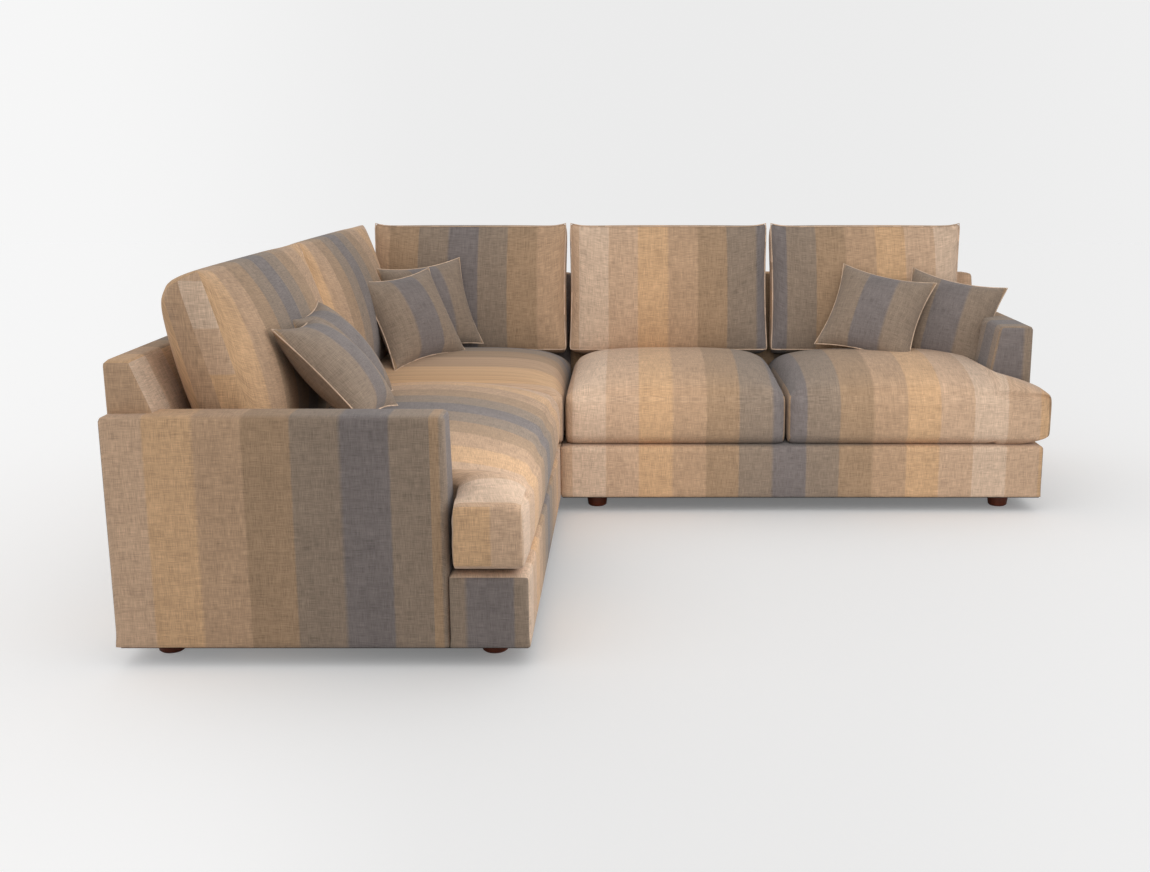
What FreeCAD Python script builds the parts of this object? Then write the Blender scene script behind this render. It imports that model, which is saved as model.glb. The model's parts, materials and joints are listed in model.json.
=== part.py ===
import FreeCAD, Part
import math
import os

# Corner sofa in three upholstered sections, with loose seat, back and scatter cushions.
# Millimetres, +Z up. The origin is on the floor under the middle of the sofa's outline.
#
# A wing frame is used for whatever the left and right sections share:
#   x runs along the wing, from the outer face of its arm towards the corner,
#   y runs from the back of the wing to its front, and z is the height.
# The corner section has the same y, and its x runs from the left outer back.

os.makedirs("parts", exist_ok=True)
V = FreeCAD.Vector
Z_AXIS = V(0, 0, 1)

# Plan
wing_depth = 1000.0
left_length = 1430.0
right_length = 1656.0
total_width = wing_depth + right_length
total_depth = wing_depth + left_length

# Heights of the fixed upholstery
foot_height = 50.0
deck_height = 230.0
arm_height = 616.0
rail_height = 740.0

# Arms: upright outside, sloped inside
arm_length = 805.0
arm_top = 115.0
arm_slope = 0.18
arm_round = 16.0

# Backs: upright outside, a sloped head and a less sloped inside back
back_inset = 7.0
rail_end_inset = 44.0
rail_top = 60.0
head_drop = 120.0
head_slope = 0.41
back_slope = 0.27
rail_round = 14.0

# Upholstery walls and under structure
cover_wall = 12.0
overcut = 1.0
base_round = 10.0
nose_round = 14.0
cloth_thickness = 3.0
felt_thickness = 5.0
web_thickness = 2.0
web_width = 50.0
dust_thickness = 2.0
dust_inset = 6.0
timber = 22.0
rib_thickness = 18.0
rail_timber = 45.0
block_size = 70.0

# Turned feet
foot_top_radius = 38.0
foot_base_radius = 31.5
foot_edge = 4.0
foot_from_back = 95.0
foot_from_end = 123.0
bolt_radius = 4.0
bolt_gap = 0.1
bolt_in_foot = 32.0
bolt_in_block = 34.0
washer_radius = 14.0
washer_thickness = 2.5
nut_radius = 8.0
nut_height = 6.5

# Section connectors: a hook plate that slides into a catch plate
connector_width = 44.0
connector_length = 60.0
plate_thickness = 2.5
hook_reach = 34.0
hook_width = 24.0
catch_gap = 0.5

# Seat cushions
seat_overhang = 12.0
ear_overhang = 25.0
soft_gap = 0.4
seat_low_seam = 30.0
seat_seam = 178.0
seat_bulge = 7.0
shoulder_in = 48.0
shoulder_rise = 32.0
seat_crown = 60.0
seat_end_draw = 10.0
seat_edge = 26.0
seat_shoulder = 95.0
seat_split = 1775.0

# Back cushions
rake = math.radians(15.0)
back_cushion_height = 488.0
back_edge = 34.0
back_shoulder = 120.0
edge_half = 62.0
front_crown = 46.0
rear_crown = 50.0
end_crown = 9.0
ear_rise = 13.0
top_bulge = 16.0
back_cushion_seat = 289.0
arm_clearance = 4.0
left_back_split = 1120.0
corner_back_start = 240.0
corner_back_end = 998.0
side_lean = 0.04
corner_nook = 34.0

# Scatter cushions
scatter_half = 182.0
scatter_tall = 172.0
scatter_pinch = 11.0
scatter_thick = 58.0
scatter_edge = 4.0
scatter_gap = 0.6
lean_gap = 7.0
scatter_step = 34.0

# Where each scatter cushion lies along its wing, the two in the corner from the sofa's outer back
near_left_place = 470.0
far_left_place = 762.0
outer_right_place = 288.0
inner_right_place = 496.0
front_corner_place = 675.0
rear_corner_place = 510.0

# How far each scatter cushion sinks to touch the cushion that carries it, and how far it moves forward
near_left_sink = 1.4
far_left_sink = -0.5
far_left_forward = -6.6
outer_right_sink = 9.1
inner_right_sink = 1.8
front_corner_sink = 10.4
front_corner_forward = 2.5
rear_corner_sink = 9.0

# Each scatter cushion's place along its wing, its yaw, lean and roll in degrees, its step and its sink
scatter_lie = {
    "left_scatter_near": (near_left_place, 14.0, 30.0, 4.0, scatter_step, near_left_sink),
    "left_scatter_far": (far_left_place, 14.0, 22.0, -2.0, far_left_forward, far_left_sink),
    "right_scatter_outer": (outer_right_place, -20.0, 22.0, -9.0, 0.0, outer_right_sink),
    "right_scatter_inner": (inner_right_place, -20.0, 32.0, -7.0, 1.5 * scatter_step, inner_right_sink),
    "corner_scatter_front": (total_depth - front_corner_place, 38.0, 28.0, -4.0, front_corner_forward,
                             front_corner_sink),
    "corner_scatter_rear": (total_width - rear_corner_place, 37.0, 21.0, 4.0, 0.0, rear_corner_sink)}

# Shared places worked out from the sizes above
head_y = back_inset + rail_top
break_y = head_y + head_slope * head_drop
break_z = rail_height - head_drop
deck_y = break_y + back_slope * (break_z - deck_height)
arm_foot = arm_top + arm_slope * (arm_height - deck_height)
x_middle = (total_width + ear_overhang) / 2
y_middle = (total_depth - ear_overhang) / 2
seat_base = deck_height + soft_gap
under_side = foot_height - dust_thickness
frame_low = foot_height
seat_back = deck_y + soft_gap + seat_bulge
seat_front = wing_depth + seat_overhang - seat_bulge
seat_middle = (seat_back + seat_front) / 2
web_low = deck_height - cloth_thickness - felt_thickness - 2 * web_thickness
nose_middle = (arm_length + wing_depth) / 2


# Basic solids

def box(x0, x1, y0, y1, z0, z1):
    return Part.makeBox(x1 - x0, y1 - y0, z1 - z0, V(x0, y0, z0))


def prism_along_x(outline, x0, x1):
    points = [V(x0, y, z) for y, z in outline]
    face = Part.Face(Part.makePolygon(points + points[:1]))
    return face.extrude(V(x1 - x0, 0, 0))


def prism_along_y(outline, y0, y1):
    points = [V(x, y0, z) for x, z in outline]
    face = Part.Face(Part.makePolygon(points + points[:1]))
    return face.extrude(V(0, y1 - y0, 0))


def prism_along_z(outline, z0, z1):
    points = [V(x, y, z0) for x, y in outline]
    face = Part.Face(Part.makePolygon(points + points[:1]))
    return face.extrude(V(0, 0, z1 - z0))


def fuse_all(shapes):
    solid = shapes[0]
    if len(shapes) > 1:
        solid = shapes[0].multiFuse(shapes[1:])
    return solid.removeSplitter()


def cut_all(shape, tools):
    for tool in tools:
        shape = shape.cut(tool)
    return shape


def pierced(shape, feet):
    holes = [Part.makeCylinder(bolt_radius + bolt_gap, 3 * foot_height, V(x, y, 0)) for x, y in feet]
    return cut_all(shape, holes)


def rounded(shape, radius, wanted):
    edges = [edge for edge in shape.Edges if wanted(edge)]
    return shape.makeFillet(radius, edges)


def runs_along(edge, axis):
    first = edge.Vertexes[0].Point
    last = edge.Vertexes[-1].Point
    direction = last.sub(first)
    return direction.Length > 1 and abs(direction.normalize().dot(axis)) > 0.999


def is_top_edge(edge, axis, height):
    return runs_along(edge, axis) and edge.BoundBox.ZMin > height - overcut


# Placing of wing and corner pieces

def place_left(shape):
    moved = shape.mirror(V(0, 0, 0), V(1, -1, 0))
    moved.translate(V(-x_middle, -y_middle, 0))
    return moved


def place_right(shape):
    moved = shape.copy()
    moved.rotate(V(0, 0, 0), Z_AXIS, 180)
    moved.translate(V(total_width - x_middle, total_depth - y_middle, 0))
    return moved


def place_corner(shape):
    moved = shape.mirror(V(0, 0, 0), V(0, 1, 0))
    moved.translate(V(-x_middle, total_depth - y_middle, 0))
    return moved


def keep(name, shape):
    if isinstance(shape, list):
        shape = Part.makeCompound(shape)
    shape.exportStep("parts/" + name + ".step")
    print(name, "solids", len(shape.Solids), "valid", shape.isValid(), "litres", round(shape.Volume / 1e6, 2))


# Outlines that several pieces share

def back_outline(inset=0.0, low=foot_height):
    head_shift = inset * (math.sqrt(1 + head_slope ** 2) - head_slope)
    back_shift = inset * math.sqrt(1 + back_slope ** 2)
    top = rail_height - inset
    knee_z = break_z - inset * (head_slope - back_slope) / 2
    knee_y = break_y + back_slope * (break_z - knee_z) - back_shift
    deck = deck_y - back_shift
    return [(back_inset + inset, low), (back_inset + inset, top), (head_y - head_shift, top),
            (knee_y, knee_z), (deck, deck_height), (deck, low)]


def arm_outline(inset=0.0, low=foot_height):
    top = arm_height - inset
    slant = inset * math.sqrt(1 + arm_slope ** 2)
    top_x = arm_top + arm_slope * inset - slant
    foot = arm_foot - slant
    return [(inset, low), (inset, top), (top_x, top), (foot, deck_height), (foot, low)]


# Arms

def make_arm_cover():
    cover = prism_along_y(arm_outline(), 0, arm_length)
    cover = rounded(cover, arm_round, lambda edge: is_top_edge(edge, V(0, 1, 0), arm_height))
    outline = arm_outline(cover_wall, foot_height - overcut)
    cavity = prism_along_y(outline, cover_wall, arm_length - cover_wall)
    return cover.cut(cavity)


def make_arm_frame(foot):
    y0 = cover_wall
    y1 = arm_length - cover_wall
    top = arm_height - cover_wall
    inner = arm_outline(cover_wall, frame_low)
    places = (y0, (y0 + y1 - rib_thickness) / 2, y1 - rib_thickness)
    ribs = [prism_along_y(inner, y, y + rib_thickness) for y in places]
    top_x = inner[2][0]
    rails = [box(cover_wall, cover_wall + timber, y0, y1, frame_low, frame_low + rail_timber),
             box(cover_wall, top_x, y0, y1, top - timber, top),
             box(cover_wall, cover_wall + timber, y0, y1, deck_height, deck_height + rail_timber)]
    x, y = foot
    half = block_size / 2
    rails.append(box(cover_wall, x + half, y0, y + half, frame_low, frame_low + bolt_in_block))
    windows = [Part.makeCylinder(bolt_radius + bolt_gap, 2 * foot_height, V(x, y, 0))]
    for y in places:
        windows.append(box(cover_wall + timber, top_x - timber / 2, y - overcut, y + rib_thickness + overcut,
                           deck_height + rail_timber, top - rail_timber))
    return cut_all(fuse_all(ribs + rails), windows)


# Bases

def base_plan(length, inset=0.0):
    arm_side = arm_foot + inset
    back = deck_y + inset
    front = wing_depth - inset
    joint = length - inset
    nose_back = arm_length + inset
    return [(arm_side, back), (joint, back), (joint, front), (inset, front), (inset, nose_back),
            (arm_side, nose_back)]


def soften_base(cover, corner_x):
    front = wing_depth - overcut

    def is_nose(edge):
        box_ = edge.BoundBox
        return runs_along(edge, Z_AXIS) and box_.YMin > front and abs(box_.XMin - corner_x) < overcut

    def is_lip(edge):
        box_ = edge.BoundBox
        return box_.ZMin > deck_height - overcut and box_.YMin > front - nose_round

    cover = rounded(cover, nose_round, is_nose)
    return rounded(cover, base_round, lambda e: is_lip(e) and not runs_along(e, V(0, 1, 0)))


def make_base_cover(length):
    cover = prism_along_z(base_plan(length), foot_height, deck_height)
    cover = soften_base(cover, 0)
    plan = base_plan(length, cover_wall)
    cavity = prism_along_z(plan, foot_height - overcut, deck_height - cloth_thickness)
    return cover.cut(cavity)


def make_felt_pad(length):
    low = deck_height - cloth_thickness - felt_thickness
    return prism_along_z(base_plan(length, cover_wall), low, low + felt_thickness)


def frame_rails(x0, x1, y0, y1, crosses):
    rails = [box(x0, x1, y0, y0 + timber, frame_low, web_low),
             box(x0, x1, y1 - timber, y1, frame_low, web_low),
             box(x0, x0 + timber, y0, y1, frame_low, web_low),
             box(x1 - timber, x1, y0, y1, frame_low, web_low)]
    for number in range(crosses):
        x = x0 + (x1 - x0) * (number + 1) / (crosses + 1)
        rails.append(box(x - timber / 2, x + timber / 2, y0, y1, frame_low, web_low - rail_timber))
    return rails


def make_wing_base_frame(length):
    x0 = arm_foot + cover_wall
    x1 = length - cover_wall
    y0 = deck_y + cover_wall
    y1 = wing_depth - cover_wall
    nose_x = cover_wall
    nose_y = arm_length + cover_wall
    rails = frame_rails(x0, x1, y0, y1, 2)
    rails.append(box(nose_x, x0 + timber, y1 - timber, y1, frame_low, web_low))
    rails.append(box(nose_x, x0 + timber, nose_y, nose_y + timber, frame_low, web_low))
    rails.append(box(nose_x, nose_x + timber, nose_y, y1, frame_low, web_low))
    rails.append(box(nose_x, x0 - web_thickness, nose_y, y1, web_low, web_low + 2 * web_thickness))
    front_foot = nose_middle
    half = block_size / 2
    for x in (foot_from_end, length - foot_from_end):
        rails.append(box(x - half, x + half, front_foot - half, y1, frame_low, frame_low + bolt_in_block))
    frame = fuse_all(rails)
    holes = [Part.makeCylinder(bolt_radius + bolt_gap, web_low, V(x, front_foot, 0))
             for x in (foot_from_end, length - foot_from_end)]
    return cut_all(frame, holes)


def make_seat_webbing(x0, x1, y0, y1, across, along):
    straps = []
    for number in range(across):
        x = x0 + (x1 - x0) * (number + 0.5) / across
        straps.append(box(x - web_width / 2, x + web_width / 2, y0, y1, web_low, web_low + web_thickness))
    for number in range(along):
        y = y0 + (y1 - y0) * (number + 0.5) / along
        low = web_low + web_thickness
        straps.append(box(x0, x1, y - web_width / 2, y + web_width / 2, low, low + web_thickness))
    return straps


def make_wing_dust_cover(length, feet):
    sheet = box(dust_inset, length - dust_inset, back_inset + dust_inset, wing_depth - dust_inset,
                under_side, foot_height)
    return pierced(sheet, feet)


# Feet and their fixings

def make_foot(x, y):
    low_x = foot_base_radius
    top_x = foot_top_radius
    lean = (top_x - low_x) / under_side
    p0 = V(0, 0, 0)
    p1 = V(low_x - foot_edge, 0, 0)
    p2 = V(low_x + lean * foot_edge, 0, foot_edge)
    p3 = V(top_x, 0, under_side - foot_edge)
    p4 = V(top_x - foot_edge / 2, 0, under_side)
    p5 = V(0, 0, under_side)
    edges = [Part.LineSegment(p0, p1).toShape(), Part.LineSegment(p1, p2).toShape(),
             Part.LineSegment(p2, p3).toShape(), Part.LineSegment(p3, p4).toShape(),
             Part.LineSegment(p4, p5).toShape(), Part.LineSegment(p5, p0).toShape()]
    foot = Part.Face(Part.Wire(edges)).revolve(V(0, 0, 0), Z_AXIS, 360)
    bore_low = V(0, 0, under_side - bolt_in_foot)
    foot = foot.cut(Part.makeCylinder(bolt_radius + bolt_gap, bolt_in_foot, bore_low))
    foot.translate(V(x, y, 0))
    return foot


def make_foot_bolt(x, y):
    block_top = frame_low + bolt_in_block
    low = under_side - bolt_in_foot
    top = block_top + washer_thickness + nut_height
    shank = Part.makeCylinder(bolt_radius, top - low, V(x, y, low))
    washer = Part.makeCylinder(washer_radius, washer_thickness, V(x, y, block_top))
    corners = []
    for number in range(6):
        angle = math.radians(60 * number)
        corners.append((x + nut_radius * math.cos(angle), y + nut_radius * math.sin(angle)))
    nut = prism_along_z(corners, block_top + washer_thickness, top)
    return fuse_all([shank, washer, nut])


def foot_places(length):
    places = [(foot_from_end, nose_middle), (length - foot_from_end, nose_middle)]
    return places + [(foot_from_end, foot_from_back), (length - foot_from_end, foot_from_back)]


# Backs

def make_wing_back_cover(length):
    cover = prism_along_x(back_outline(), rail_end_inset, length)
    cover = rounded(cover, rail_round, lambda edge: is_top_edge(edge, V(1, 0, 0), rail_height))
    cover = cover.cut(prism_along_y(arm_outline(0, foot_height - overcut), -overcut, arm_length))
    outline = back_outline(cover_wall, foot_height - overcut)
    cavity = prism_along_x(outline, arm_foot + cover_wall, length - cover_wall)
    return cover.cut(cavity)


def back_rib(x):
    return prism_along_x(back_outline(cover_wall + web_thickness, frame_low), x, x + rib_thickness)


def back_rails(x0, x1):
    outline = back_outline(cover_wall + web_thickness, frame_low)
    outer = outline[0][0]
    top = outline[1][1]
    top_y = outline[2][0]
    knee_y, knee_z = outline[3]
    low_y = outline[5][0]
    return [box(x0, x1, outer, top_y, top - timber, top),
            box(x0, x1, knee_y - timber, knee_y, knee_z - rail_timber, knee_z - timber / 2),
            box(x0, x1, outer, outer + timber, frame_low, frame_low + rail_timber),
            box(x0, x1, low_y - timber, low_y, frame_low, frame_low + 2 * rail_timber)]


def rib_windows(x):
    outline = back_outline(cover_wall + web_thickness, frame_low)
    outer = outline[0][0] + timber
    knee_y, knee_z = outline[3]
    inner_low = outline[4][0] - timber
    low = frame_low + 2 * rail_timber + timber
    high = knee_z - 2 * timber
    hole = [(outer, low), (outer, high), (knee_y - timber, high), (inner_low, low)]
    return prism_along_x(hole, x - overcut, x + rib_thickness + overcut)


def make_wing_back_frame(length, feet):
    x0 = arm_foot + cover_wall
    x1 = length - cover_wall
    count = 4
    places = [x0 + (x1 - rib_thickness - x0) * number / (count - 1) for number in range(count)]
    solids = [back_rib(x) for x in places] + back_rails(x0, x1)
    half = block_size / 2
    outer = back_outline(cover_wall + web_thickness)[0][0]
    for x, y in feet:
        solids.append(box(x - half, x + half, outer, y + half, frame_low, frame_low + bolt_in_block))
    frame = cut_all(fuse_all(solids), [rib_windows(x) for x in places])
    return pierced(frame, feet)


def sloped_strap(centre_z, x0, x1):
    outline = back_outline(cover_wall)
    knee_y, knee_z = outline[3]
    half = web_width / 2 * math.cos(math.atan(back_slope))

    def face_y(z):
        return knee_y + back_slope * (knee_z - z)

    depth = web_thickness * math.sqrt(1 + back_slope ** 2)
    low = centre_z - half
    high = centre_z + half
    strip = [(face_y(low), low), (face_y(high), high), (face_y(high) - depth, high),
             (face_y(low) - depth, low)]
    return prism_along_x(strip, x0, x1)


def make_back_webbing(x0, x1):
    step = (break_z - deck_height) / 4
    return [sloped_strap(deck_height + step * (number + 0.5), x0, x1) for number in range(4)]


# Section connectors under the base, two at each joint

def make_hook(x_joint, y, side):
    low = under_side - plate_thickness
    half = connector_width / 2
    tongue = hook_width / 2
    inside = x_joint + side * connector_length
    reach = x_joint - side * hook_reach
    step_low = low - plate_thickness - catch_gap
    plate = box(min(x_joint, inside), max(x_joint, inside), y - half, y + half, low, under_side)
    drop = box(min(x_joint, x_joint + side * plate_thickness), max(x_joint, x_joint + side * plate_thickness),
               y - tongue, y + tongue, step_low, low)
    hook = box(min(x_joint + side * plate_thickness, reach), max(x_joint + side * plate_thickness, reach),
               y - tongue, y + tongue, step_low, step_low + plate_thickness)
    return fuse_all([plate, drop, hook])


def make_catch(x_joint, y, side):
    low = under_side - plate_thickness
    half = connector_width / 2
    slot = hook_width / 2 + catch_gap
    inside = x_joint - side * connector_length
    near = x_joint - side * catch_gap
    step_low = low - plate_thickness - 2 * catch_gap
    x0 = min(near, inside)
    x1 = max(near, inside)
    plate = box(x0, x1, y - half, y + half, low, under_side)
    bridge_in = x_joint - side * (hook_reach - plate_thickness)
    b0 = min(near, bridge_in)
    b1 = max(near, bridge_in)
    walls = [box(b0, b1, y + slot, y + slot + plate_thickness, step_low - plate_thickness, low),
             box(b0, b1, y - slot - plate_thickness, y - slot, step_low - plate_thickness, low),
             box(b0, b1, y - slot, y + slot, step_low - plate_thickness, step_low)]
    return fuse_all([plate] + walls)


# Soft forms: ruled lofts through sections of lines and arcs

def wire_of(pieces):
    edges = []
    for start, bend, end in pieces:
        if bend is None:
            edges.append(Part.LineSegment(start, end).toShape())
        else:
            edges.append(Part.Arc(start, bend, end).toShape())
    return Part.Wire(edges)


def loft_of(wires):
    return Part.makeLoft(wires, True, True)


def arc_height(half_span, rise, offset):
    radius = (half_span ** 2 + rise ** 2) / (2 * rise)
    return math.sqrt(radius ** 2 - offset ** 2) - (radius - rise)


def seat_stations(x0, x1, walled=False):
    width = x1 - x0
    places = [(x0, 0.0), (x0 + seat_edge, 0.55), (x0 + seat_shoulder, 0.8), (x0 + 0.3 * width, 0.95),
              (x0 + 0.5 * width, 1.0)]
    far = [(x1 + x0 - x, fullness) for x, fullness in reversed(places[:-1])]
    if walled:
        places = [(x0, 0.0), (x0 + seat_edge, 0.05), (x0 + 1.45 * seat_shoulder, 0.5),
                  (x0 + 0.35 * width, 0.88), (x0 + 0.5 * width, 1.0)]
    return places + far


def seat_section(x, fullness, y_back, y_front):
    draw = seat_end_draw * (1 - fullness) ** 2
    back = y_back + draw
    front = y_front - draw
    low_seam = seat_base + seat_low_seam
    seam = seat_base + seat_seam - draw
    inset = shoulder_in * (0.5 + 0.5 * fullness)
    rise = shoulder_rise * (0.25 + 0.75 * fullness)
    crown = seat_crown * (0.12 + 0.88 * fullness)
    bulge = seat_bulge * (0.4 + 0.6 * fullness)
    corner = 0.7 * seat_low_seam
    low = seat_base
    middle = (back + front) / 2
    points = [V(x, back + corner, low), V(x, front - corner, low), V(x, front, low_seam), V(x, front, seam),
              V(x, front - inset, seam + rise), V(x, back + inset, seam + rise), V(x, back, seam),
              V(x, back, low_seam)]
    out = 0.2
    bends = [None, V(x, front - out * corner, low + out * seat_low_seam),
             V(x, front + bulge, (low_seam + seam) / 2),
             V(x, front - 0.3 * inset, seam + 0.68 * rise), V(x, middle, seam + rise + crown),
             V(x, back + 0.3 * inset, seam + 0.68 * rise), V(x, back - bulge, (low_seam + seam) / 2),
             V(x, back + out * corner, low + out * seat_low_seam)]
    pieces = [(points[k], bends[k], points[(k + 1) % len(points)]) for k in range(len(points))]
    return wire_of(pieces)


def seat_cushion(x0, x1, walled=False):
    stations = seat_stations(x0, x1, walled)
    return loft_of([seat_section(x, fullness, seat_back, seat_front) for x, fullness in stations])


def seat_top(y, fullness=1.0):
    half = (seat_front - seat_back) / 2 - shoulder_in * (0.5 + 0.5 * fullness)
    crown = seat_crown * (0.12 + 0.88 * fullness)
    shoulder = seat_base + seat_seam + shoulder_rise * (0.25 + 0.75 * fullness)
    return shoulder + arc_height(half, crown, y - seat_middle)


def tee_cushion(x1):
    whole = seat_cushion(-ear_overhang, x1)
    side = arm_outline(-soft_gap, foot_height)
    side[0] = (-2 * ear_overhang, foot_height)
    side[1] = (-2 * ear_overhang, side[1][1])
    return whole.cut(prism_along_y(side, -overcut, arm_length + soft_gap))


# Back cushions stand on the seats and lean at the rake angle

back_front_y = back_cushion_seat + edge_half * math.cos(rake)
back_front_z = seat_top(back_front_y) + soft_gap
back_low_z = back_front_z - edge_half * math.sin(rake)


def back_point(x, up, out, tilt):
    y = back_cushion_seat - up * math.sin(rake) + out * math.cos(rake)
    z = back_low_z + up * math.cos(rake) + out * math.sin(rake)
    return V(x + tilt * (z - back_low_z), y, z)


def back_section(x, fullness, tilt):
    front = end_crown + (front_crown - end_crown) * fullness
    rear = end_crown + (rear_crown - end_crown) * fullness
    top = back_cushion_height + ear_rise * (1 - fullness) ** 2
    half = edge_half
    points = [back_point(x, 0, half, tilt), back_point(x, top, half, tilt), back_point(x, top, -half, tilt),
              back_point(x, 0, -half, tilt)]
    bends = [back_point(x, top / 2, half + front, tilt), back_point(x, top + top_bulge, 0, tilt),
             back_point(x, top / 2, -half - rear, tilt), None]
    return wire_of([(points[k], bends[k], points[(k + 1) % 4]) for k in range(4)])


def back_stations(x0, x1):
    width = x1 - x0
    places = [(x0, 0.0), (x0 + back_edge, 0.42), (x0 + back_shoulder, 0.75), (x0 + 0.3 * width, 0.95),
              (x0 + 0.5 * width, 1.0)]
    return places + [(x1 + x0 - x, fullness) for x, fullness in reversed(places[:-1])]


def back_cushion(x0, x1, tilt0=0.0, tilt1=0.0):
    wires = []
    for x, fullness in back_stations(x0, x1):
        share = (x - x0) / (x1 - x0)
        wires.append(back_section(x, fullness, tilt0 + (tilt1 - tilt0) * share))
    return loft_of(wires)


# Scatter cushions: two curved faces that meet in a sharp seam with the corners drawn out

def scatter_section(x):
    share = abs(x) / scatter_half
    full = 1 - share ** 2
    half = scatter_tall - scatter_pinch * full
    thick = scatter_edge + (scatter_thick - scatter_edge) * math.sqrt(full)
    low = V(x, 0, -half)
    high = V(x, 0, half)
    return wire_of([(low, V(x, thick, 0), high), (high, V(x, -thick, 0), low)])


def scatter_cushion():
    shares = [-1, -0.92, -0.75, -0.4, 0, 0.4, 0.75, 0.92, 1]
    return loft_of([scatter_section(share * scatter_half) for share in shares])


def scatter_rotation(yaw, lean, roll):
    turn = FreeCAD.Rotation(Z_AXIS, yaw)
    tip = FreeCAD.Rotation(V(1, 0, 0), lean)
    spin = FreeCAD.Rotation(V(0, 1, 0), roll)
    return turn.multiply(tip).multiply(spin)


def back_face_y(z):
    """Where the front face of a back cushion is at a height, at the middle of its width."""
    up = (z - back_low_z) / math.cos(rake)
    for again in range(3):
        out = edge_half + arc_height(back_cushion_height / 2, front_crown, up - back_cushion_height / 2)
        up = (z - back_low_z - out * math.sin(rake)) / math.cos(rake)
        up = min(max(up, 0), back_cushion_height)
    return back_cushion_seat - up * math.sin(rake) + out * math.cos(rake)


def scatter_points(rotation):
    """Points all over the seam and the rear face of a cushion turned as it will stand."""
    points = []
    steps = 10
    for number in range(steps + 1):
        across = 2 * number / steps - 1
        half = scatter_tall - scatter_pinch * (1 - across ** 2)
        thick = scatter_edge + (scatter_thick - scatter_edge) * math.sqrt(1 - across ** 2)
        for level in range(steps + 1):
            up = 2 * level / steps - 1
            depth = arc_height(half, thick, up * half)
            points.append(rotation.multVec(V(across * scatter_half, -depth, up * half)))
            points.append(rotation.multVec(V(across * scatter_half, depth, up * half)))
    return points


def lay_scatter(x, yaw, lean, roll, step, sink):
    """Stands a cushion on the seat at x and leans it on the back cushion, step in front of it."""
    rotation = scatter_rotation(yaw, lean, roll)
    points = scatter_points(rotation)
    y = seat_middle
    z = 0
    for again in range(4):
        z = max(seat_top(min(y + p.y, seat_middle)) - p.z for p in points if p.z < 0) + scatter_gap
        y = max(back_face_y(z + p.z) - p.y for p in points) + lean_gap + step
    shape = scatter_cushion()
    shape.Placement = FreeCAD.Placement(V(x, y, z - sink), rotation)
    return shape


# Left and right sections

for side, length, place in (("left", left_length, place_left), ("right", right_length, place_right)):
    feet = foot_places(length)
    inner_x0 = arm_foot + cover_wall
    inner_x1 = length - cover_wall
    inner_y0 = deck_y + cover_wall
    inner_y1 = wing_depth - cover_wall
    keep(side + "_arm_cover", place(make_arm_cover()))
    keep(side + "_arm_frame", place(make_arm_frame(feet[2])))
    keep(side + "_base_cover", place(make_base_cover(length)))
    keep(side + "_base_frame", place(make_wing_base_frame(length)))
    keep(side + "_felt_pad", place(make_felt_pad(length)))
    webs = make_seat_webbing(inner_x0, inner_x1, inner_y0, inner_y1, round(length / 150), 5)
    keep(side + "_seat_webbing", [place(strap) for strap in webs])
    keep(side + "_dust_cover", place(make_wing_dust_cover(length, feet)))
    keep(side + "_feet", [place(make_foot(x, y)) for x, y in feet])
    keep(side + "_foot_bolts", [place(make_foot_bolt(x, y)) for x, y in feet])
    keep(side + "_back_cover", place(make_wing_back_cover(length)))
    keep(side + "_back_frame", place(make_wing_back_frame(length, feet[3:])))
    keep(side + "_back_webbing", [place(strap) for strap in make_back_webbing(inner_x0, inner_x1)])
    joints_y = (foot_from_back * 2, wing_depth - foot_from_back * 2)
    keep(side + "_joint_hooks", [place(make_hook(length, y, 1)) for y in joints_y])
    keep(side + "_joint_catches", [place(make_catch(length, y, 1)) for y in joints_y])


# Corner section: a back on two sides

def swapped(shape):
    return shape.mirror(V(0, 0, 0), V(1, -1, 0))


def both_ways(shape):
    return fuse_all([shape, swapped(shape)])


def corner_back_leg(inset, low, start, end):
    leg = prism_along_x(back_outline(inset, low), start, end)
    if inset == 0:
        leg = rounded(leg, rail_round, lambda edge: is_top_edge(edge, V(1, 0, 0), rail_height))
    return leg


def make_corner_back_cover():
    cover = both_ways(corner_back_leg(0, foot_height, back_inset, wing_depth))
    start = back_inset + cover_wall
    leg = corner_back_leg(cover_wall, foot_height - overcut, start, wing_depth - cover_wall)
    return cut_all(cover, [leg, swapped(leg)])


def make_corner_back_frame(feet):
    outer = back_outline(cover_wall + web_thickness)[0][0]
    x0 = outer
    x1 = wing_depth - cover_wall
    places = [deck_y + cover_wall, (deck_y + x1) / 2, x1 - rib_thickness]
    leg = [back_rib(x) for x in places] + back_rails(x0, x1)
    windows = [rib_windows(x) for x in places]
    half = block_size / 2
    solids = leg + [swapped(piece) for piece in leg]
    for x, y in feet:
        block_x = outer if x < wing_depth / 2 else x - half
        block_y = outer if y < wing_depth / 2 else y - half
        solids.append(box(block_x, x + half, block_y, y + half, frame_low, frame_low + bolt_in_block))
    frame = cut_all(fuse_all(solids), windows + [swapped(window) for window in windows])
    return pierced(frame, feet)


def make_corner_base_cover():
    cover = box(deck_y, wing_depth, deck_y, wing_depth, foot_height, deck_height)
    cavity = box(deck_y + cover_wall, wing_depth - cover_wall, deck_y + cover_wall, wing_depth - cover_wall,
                 foot_height - overcut, deck_height - cloth_thickness)
    return cover.cut(cavity)


def make_corner_base_frame(foot):
    low = deck_y + cover_wall
    high = wing_depth - cover_wall
    half = block_size / 2
    x, y = foot
    rails = frame_rails(low, high, low, high, 1)
    rails.append(box(x - half, high, y - half, high, frame_low, frame_low + bolt_in_block))
    return fuse_all(rails).cut(Part.makeCylinder(bolt_radius + bolt_gap, web_low, V(x, y, 0)))


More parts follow.
